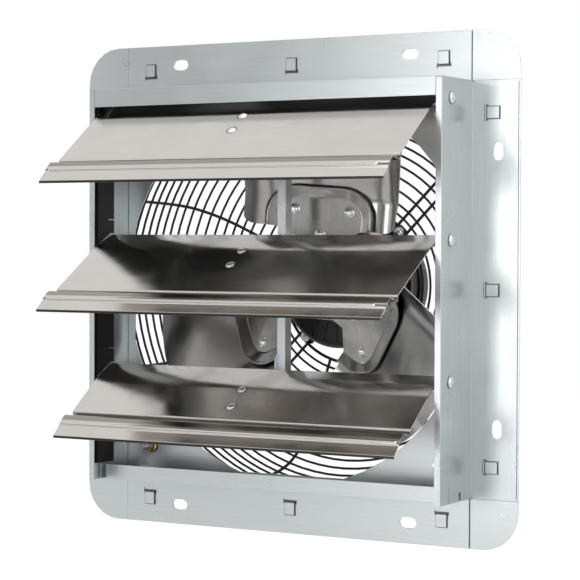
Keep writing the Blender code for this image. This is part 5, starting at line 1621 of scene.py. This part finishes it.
def trailing_edge(along):
    return -BLADE_TRAILING_EDGE - BLADE_TRAILING_FLARE * (along - BLADE_FLARE_START)


def rounding(distance, radius):
    """How far an edge draws in at a distance from the side it rounds into."""
    near = min(max(radius - distance, 0), radius)
    return radius - math.sqrt(radius**2 - near**2)


def blade_across(share, along):
    """(across, distance from the nearer side) at a share of the blade's width."""
    trailing = trailing_edge(along)
    across = trailing * (1 - share) + BLADE_LEADING_EDGE * share
    return across, min(across - trailing, BLADE_LEADING_EDGE - across)


def blade_point(share, row):
    """A point of the blade; share runs across it from 0 to 1, and row from its root to its tip."""
    across, from_side = blade_across(share, BLADE_ROOT)
    tongue = min(max((BLADE_TONGUE_HALF + BLADE_TONGUE_FLANK - abs(across)) / BLADE_TONGUE_FLANK, 0), 1)
    root = BLADE_ROOT + rounding(from_side, BLADE_ROOT_CORNER) - tongue * (BLADE_ROOT - BLADE_TONGUE_ROOT)
    across, from_side = blade_across(share, math.sqrt(BLADE_TIP_RADIUS**2 - across**2))
    tip = math.sqrt(BLADE_TIP_RADIUS**2 - across**2) - rounding(from_side, BLADE_TIP_CORNER)
    along = root + (tip - root) * row
    across, _ = blade_across(share, max(along, BLADE_ROOT))
    return Vector((along, blade_depth(along, across), across))


class FAN_OT_blades(bpy.types.Operator):
    """Three curved blades"""

    bl_idname = "fan.blades"
    bl_label = "Blades"

    def execute(self, context):
        for number, degrees in enumerate(ARM_DEGREES, 1):
            bm = bmesh.new()
            bmesh.ops.create_grid(bm, x_segments=BLADE_COLUMNS, y_segments=BLADE_ROWS, size=0.5)
            for vert in bm.verts:
                share = (1 - math.cos(math.pi * (vert.co.x + 0.5))) / 2
                vert.co = blade_point(share, vert.co.y + 0.5)
            extrude_faces(bm, bm.faces[:], (0, BLADE_THICKNESS, 0))
            bmesh.ops.transform(bm, matrix=arm_matrix(degrees), verts=bm.verts[:])
            name, kind = f"blade_{number}", "Satin blade aluminium"
            finished_piece(f"{name}_sheet", bm, "fan_wheel", kind, (name,), sharp=50.0)
        return {"FINISHED"}


class FAN_OT_hub(bpy.types.Operator):
    """Shaft, hub collar and rotor"""

    bl_idname = "fan.hub"
    bl_label = "Hub and shaft"

    def execute(self, context):
        low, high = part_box("hub_collar")
        collar = in_mm(low.y, (4.2, 0), (18.9, 0), (19.4, 0.5), (19.4, 2.5), (18.9, 3.0), (14.6, 3.0))
        collar += in_mm(low.y, (14.0, 3.8)) + in_mm(high.y, (14.0, -1.0), (13.0, 0), (5.0, 0), (4.2, -0.6))
        low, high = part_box("motor_shaft")
        shaft = in_mm(low.y, (0, 0), (3.2, 0), (4.0, 0.9)) + in_mm(high.y, (4.0, 0), (0, 0))
        for node, profile, steps in (
            ("hub_collar", collar, COLLAR_FACETS),
            ("motor_shaft", shaft, SHAFT_FACETS),
        ):
            bm = bmesh.new()
            turned_shape(bm, profile, steps)
            finished_piece(f"{node}_turned", bm, "fan_wheel", "Zinc plate", (node,))
        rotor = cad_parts["motor_rotor"].data
        rotor.materials.clear()
        rotor.materials.append(material_for("Zinc plate"))
        return {"FINISHED"}


# Stage.


def place_lamp(name, place, aim, size, strength):
    """A rectangular lamp that faces a point."""
    lamp = bpy.data.lights.new(name, "AREA")
    lamp.shape = "RECTANGLE"
    lamp.size, lamp.size_y = size
    lamp.energy = strength
    holder = bpy.data.objects.new(name, lamp)
    holder.location = place
    holder.rotation_euler = (Vector(aim) - Vector(place)).to_track_quat("-Z", "Y").to_euler()
    bpy.context.scene.collection.objects.link(holder)


def stage_board(name, half_size, place, material):
    """A flat board beside the fan, which isn't part of it."""
    bm = bmesh.new()
    bmesh.ops.create_grid(bm, x_segments=1, y_segments=1, size=half_size)
    bmesh.ops.transform(bm, matrix=place, verts=bm.verts[:])
    mesh_object(name, bm, material)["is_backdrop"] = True


def seen_by(tree, *rays):
    """1 for the camera's rays and for the named kinds of ray."""
    path = add_node(tree, "ShaderNodeLightPath").outputs
    seen = path["Is Camera Ray"]
    for ray in rays:
        seen = calculated(tree, "MAXIMUM", seen, path[f"Is {ray} Ray"])
    return seen


def floor_material():
    """White floor that keeps the shadow and looks white to the camera and in reflections."""
    material, tree, shader = start_material("Pale floor")
    texture = blotches(tree, scale=3.0, low=0.2, high=0.8)
    base = tinted(tree, (0.86, 0.86, 0.86), (0.9, 0.9, 0.9), texture)
    feed(tree, shader, Base_Color=base, Roughness=0.8)
    glow = add_node(tree, "ShaderNodeEmission")
    glow.inputs["Strength"].default_value = FLOOR_GLOW
    mix = add_node(tree, "ShaderNodeMixShader")
    seen = seen_by(tree, "Glossy", "Transmission")
    tree.links.new(mapped(tree, seen, 0, 1, 0, FLOOR_GLOW_SHARE), mix.inputs[0])
    tree.links.new(shader.outputs[0], mix.inputs[1])
    tree.links.new(glow.outputs[0], mix.inputs[2])
    tree.links.new(mix.outputs[0], tree.nodes["Material Output"].inputs["Surface"])
    return material


def board_material():
    """Grey cloth with a fine weave."""
    material, tree, shader = start_material("Grey board")
    cloth = grain(tree, (300.0, 300.0, 300.0))
    base = tinted(tree, (0.40, 0.40, 0.40), (0.50, 0.50, 0.50), cloth)
    feed(tree, shader, Base_Color=base, Roughness=0.9)
    return material


def white_world():
    """World that lights softly, and is white to the camera and in reflections."""
    world = bpy.data.worlds.new("Studio")
    world.use_nodes = True
    tree = world.node_tree
    strength = mapped(tree, seen_by(tree, "Glossy"), 0, 1, WORLD_STRENGTH, 1)
    feed(tree, tree.nodes["Background"], Color=(1, 1, 1, 1), Strength=strength)
    bpy.context.scene.world = world


def place_camera():
    """The camera, turned from straight ahead by its azimuth, its pitch and its roll."""
    view = bpy.data.cameras.new("Camera")
    view.sensor_width = SENSOR_WIDTH
    view.lens = FOCAL_PIXELS * SENSOR_WIDTH / PHOTO_PIXELS
    view.clip_end = 50.0
    level = Vector((math.cos(CAMERA_AZIMUTH), math.sin(CAMERA_AZIMUTH), 0))
    ahead = Vector((-level.y, level.x, 0))
    forward = ahead * math.cos(CAMERA_PITCH) + Vector((0, 0, math.sin(CAMERA_PITCH)))
    upward = level.cross(forward)
    right = level * math.cos(CAMERA_ROLL) + upward * math.sin(CAMERA_ROLL)
    up = upward * math.cos(CAMERA_ROLL) - level * math.sin(CAMERA_ROLL)
    matrix = Matrix((right, up, -forward)).transposed().to_4x4()
    matrix.translation = CAMERA_PLACE
    holder = bpy.data.objects.new("Camera", view)
    holder.matrix_world = matrix
    bpy.context.scene.collection.objects.link(holder)
    bpy.context.scene.camera = holder


class FAN_OT_stage(bpy.types.Operator):
    """Pale floor, soft lamps, a grey board for the metal to mirror, and the camera"""

    bl_idname = "fan.stage"
    bl_label = "Stage"

    def execute(self, context):
        settings = context.scene.fan_stage
        floor_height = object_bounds()[0][2] - settings.floor_drop
        floor_place = Matrix.Translation((0, 0, floor_height))
        stage_board("floor", FLOOR_HALF_SIZE, floor_place, floor_material())
        white_world()
        for name, place, aim, size, strength in LAMPS:
            place_lamp(name, place, aim, size, strength * settings.lamp_strength)
        board_place = Matrix.Translation(BOARD_PLACE) @ Z_TO_FRONT
        stage_board("grey board", BOARD_HALF_SIZE, board_place, board_material())
        place_camera()
        context.scene.view_settings.view_transform = "Standard"
        return {"FINISHED"}


class FAN_PT_panel(bpy.types.Panel):
    """Lists the fan's pieces and settings"""

    bl_idname = "FAN_PT_panel"
    bl_label = "Wall Exhaust Fan"
    bl_space_type = "VIEW_3D"
    bl_region_type = "UI"
    bl_category = "Fan"

    def draw(self, context):
        layout = self.layout
        for attribute, group in SETTINGS.items():
            box = layout.box()
            box.label(text=group.__doc__)
            settings = getattr(context.scene, attribute)
            for name in group.__annotations__:
                box.prop(settings, name)
        for operator in OPERATORS:
            layout.operator(operator.bl_idname, text=operator.bl_label)


SETTINGS = {
    "fan_sheets": FAN_PG_sheets,
    "fan_shutters": FAN_PG_shutters,
    "fan_guard": FAN_PG_guard,
    "fan_motor": FAN_PG_motor,
    "fan_wheel": FAN_PG_wheel,
    "fan_stage": FAN_PG_stage,
}
OPERATORS = (
    FAN_OT_sheet_metal,
    FAN_OT_pivot_rails,
    FAN_OT_shutters,
    FAN_OT_linkage,
    FAN_OT_pivot_pins,
    FAN_OT_rivets,
    FAN_OT_corner_bolts,
    FAN_OT_guard,
    FAN_OT_motor,
    FAN_OT_hub_spider,
    FAN_OT_blades,
    FAN_OT_hub,
    FAN_OT_stage,
)


def register():
    for group in SETTINGS.values():
        bpy.utils.register_class(group)
    for attribute, group in SETTINGS.items():
        setattr(bpy.types.Scene, attribute, bpy.props.PointerProperty(type=group))
    for operator in OPERATORS:
        bpy.utils.register_class(operator)
    bpy.utils.register_class(FAN_PT_panel)


def unregister():
    bpy.utils.unregister_class(FAN_PT_panel)
    for operator in reversed(OPERATORS):
        bpy.utils.unregister_class(operator)
    for attribute, group in reversed(SETTINGS.items()):
        delattr(bpy.types.Scene, attribute)
        bpy.utils.unregister_class(group)


def main():
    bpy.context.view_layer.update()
    register()
    for operator in OPERATORS:
        family, name = operator.bl_idname.split(".")
        if getattr(getattr(bpy.ops, family), name)() != {"FINISHED"}:
            raise RuntimeError(f"{operator.bl_label} did not finish")


if __name__ == "__main__":
    main()
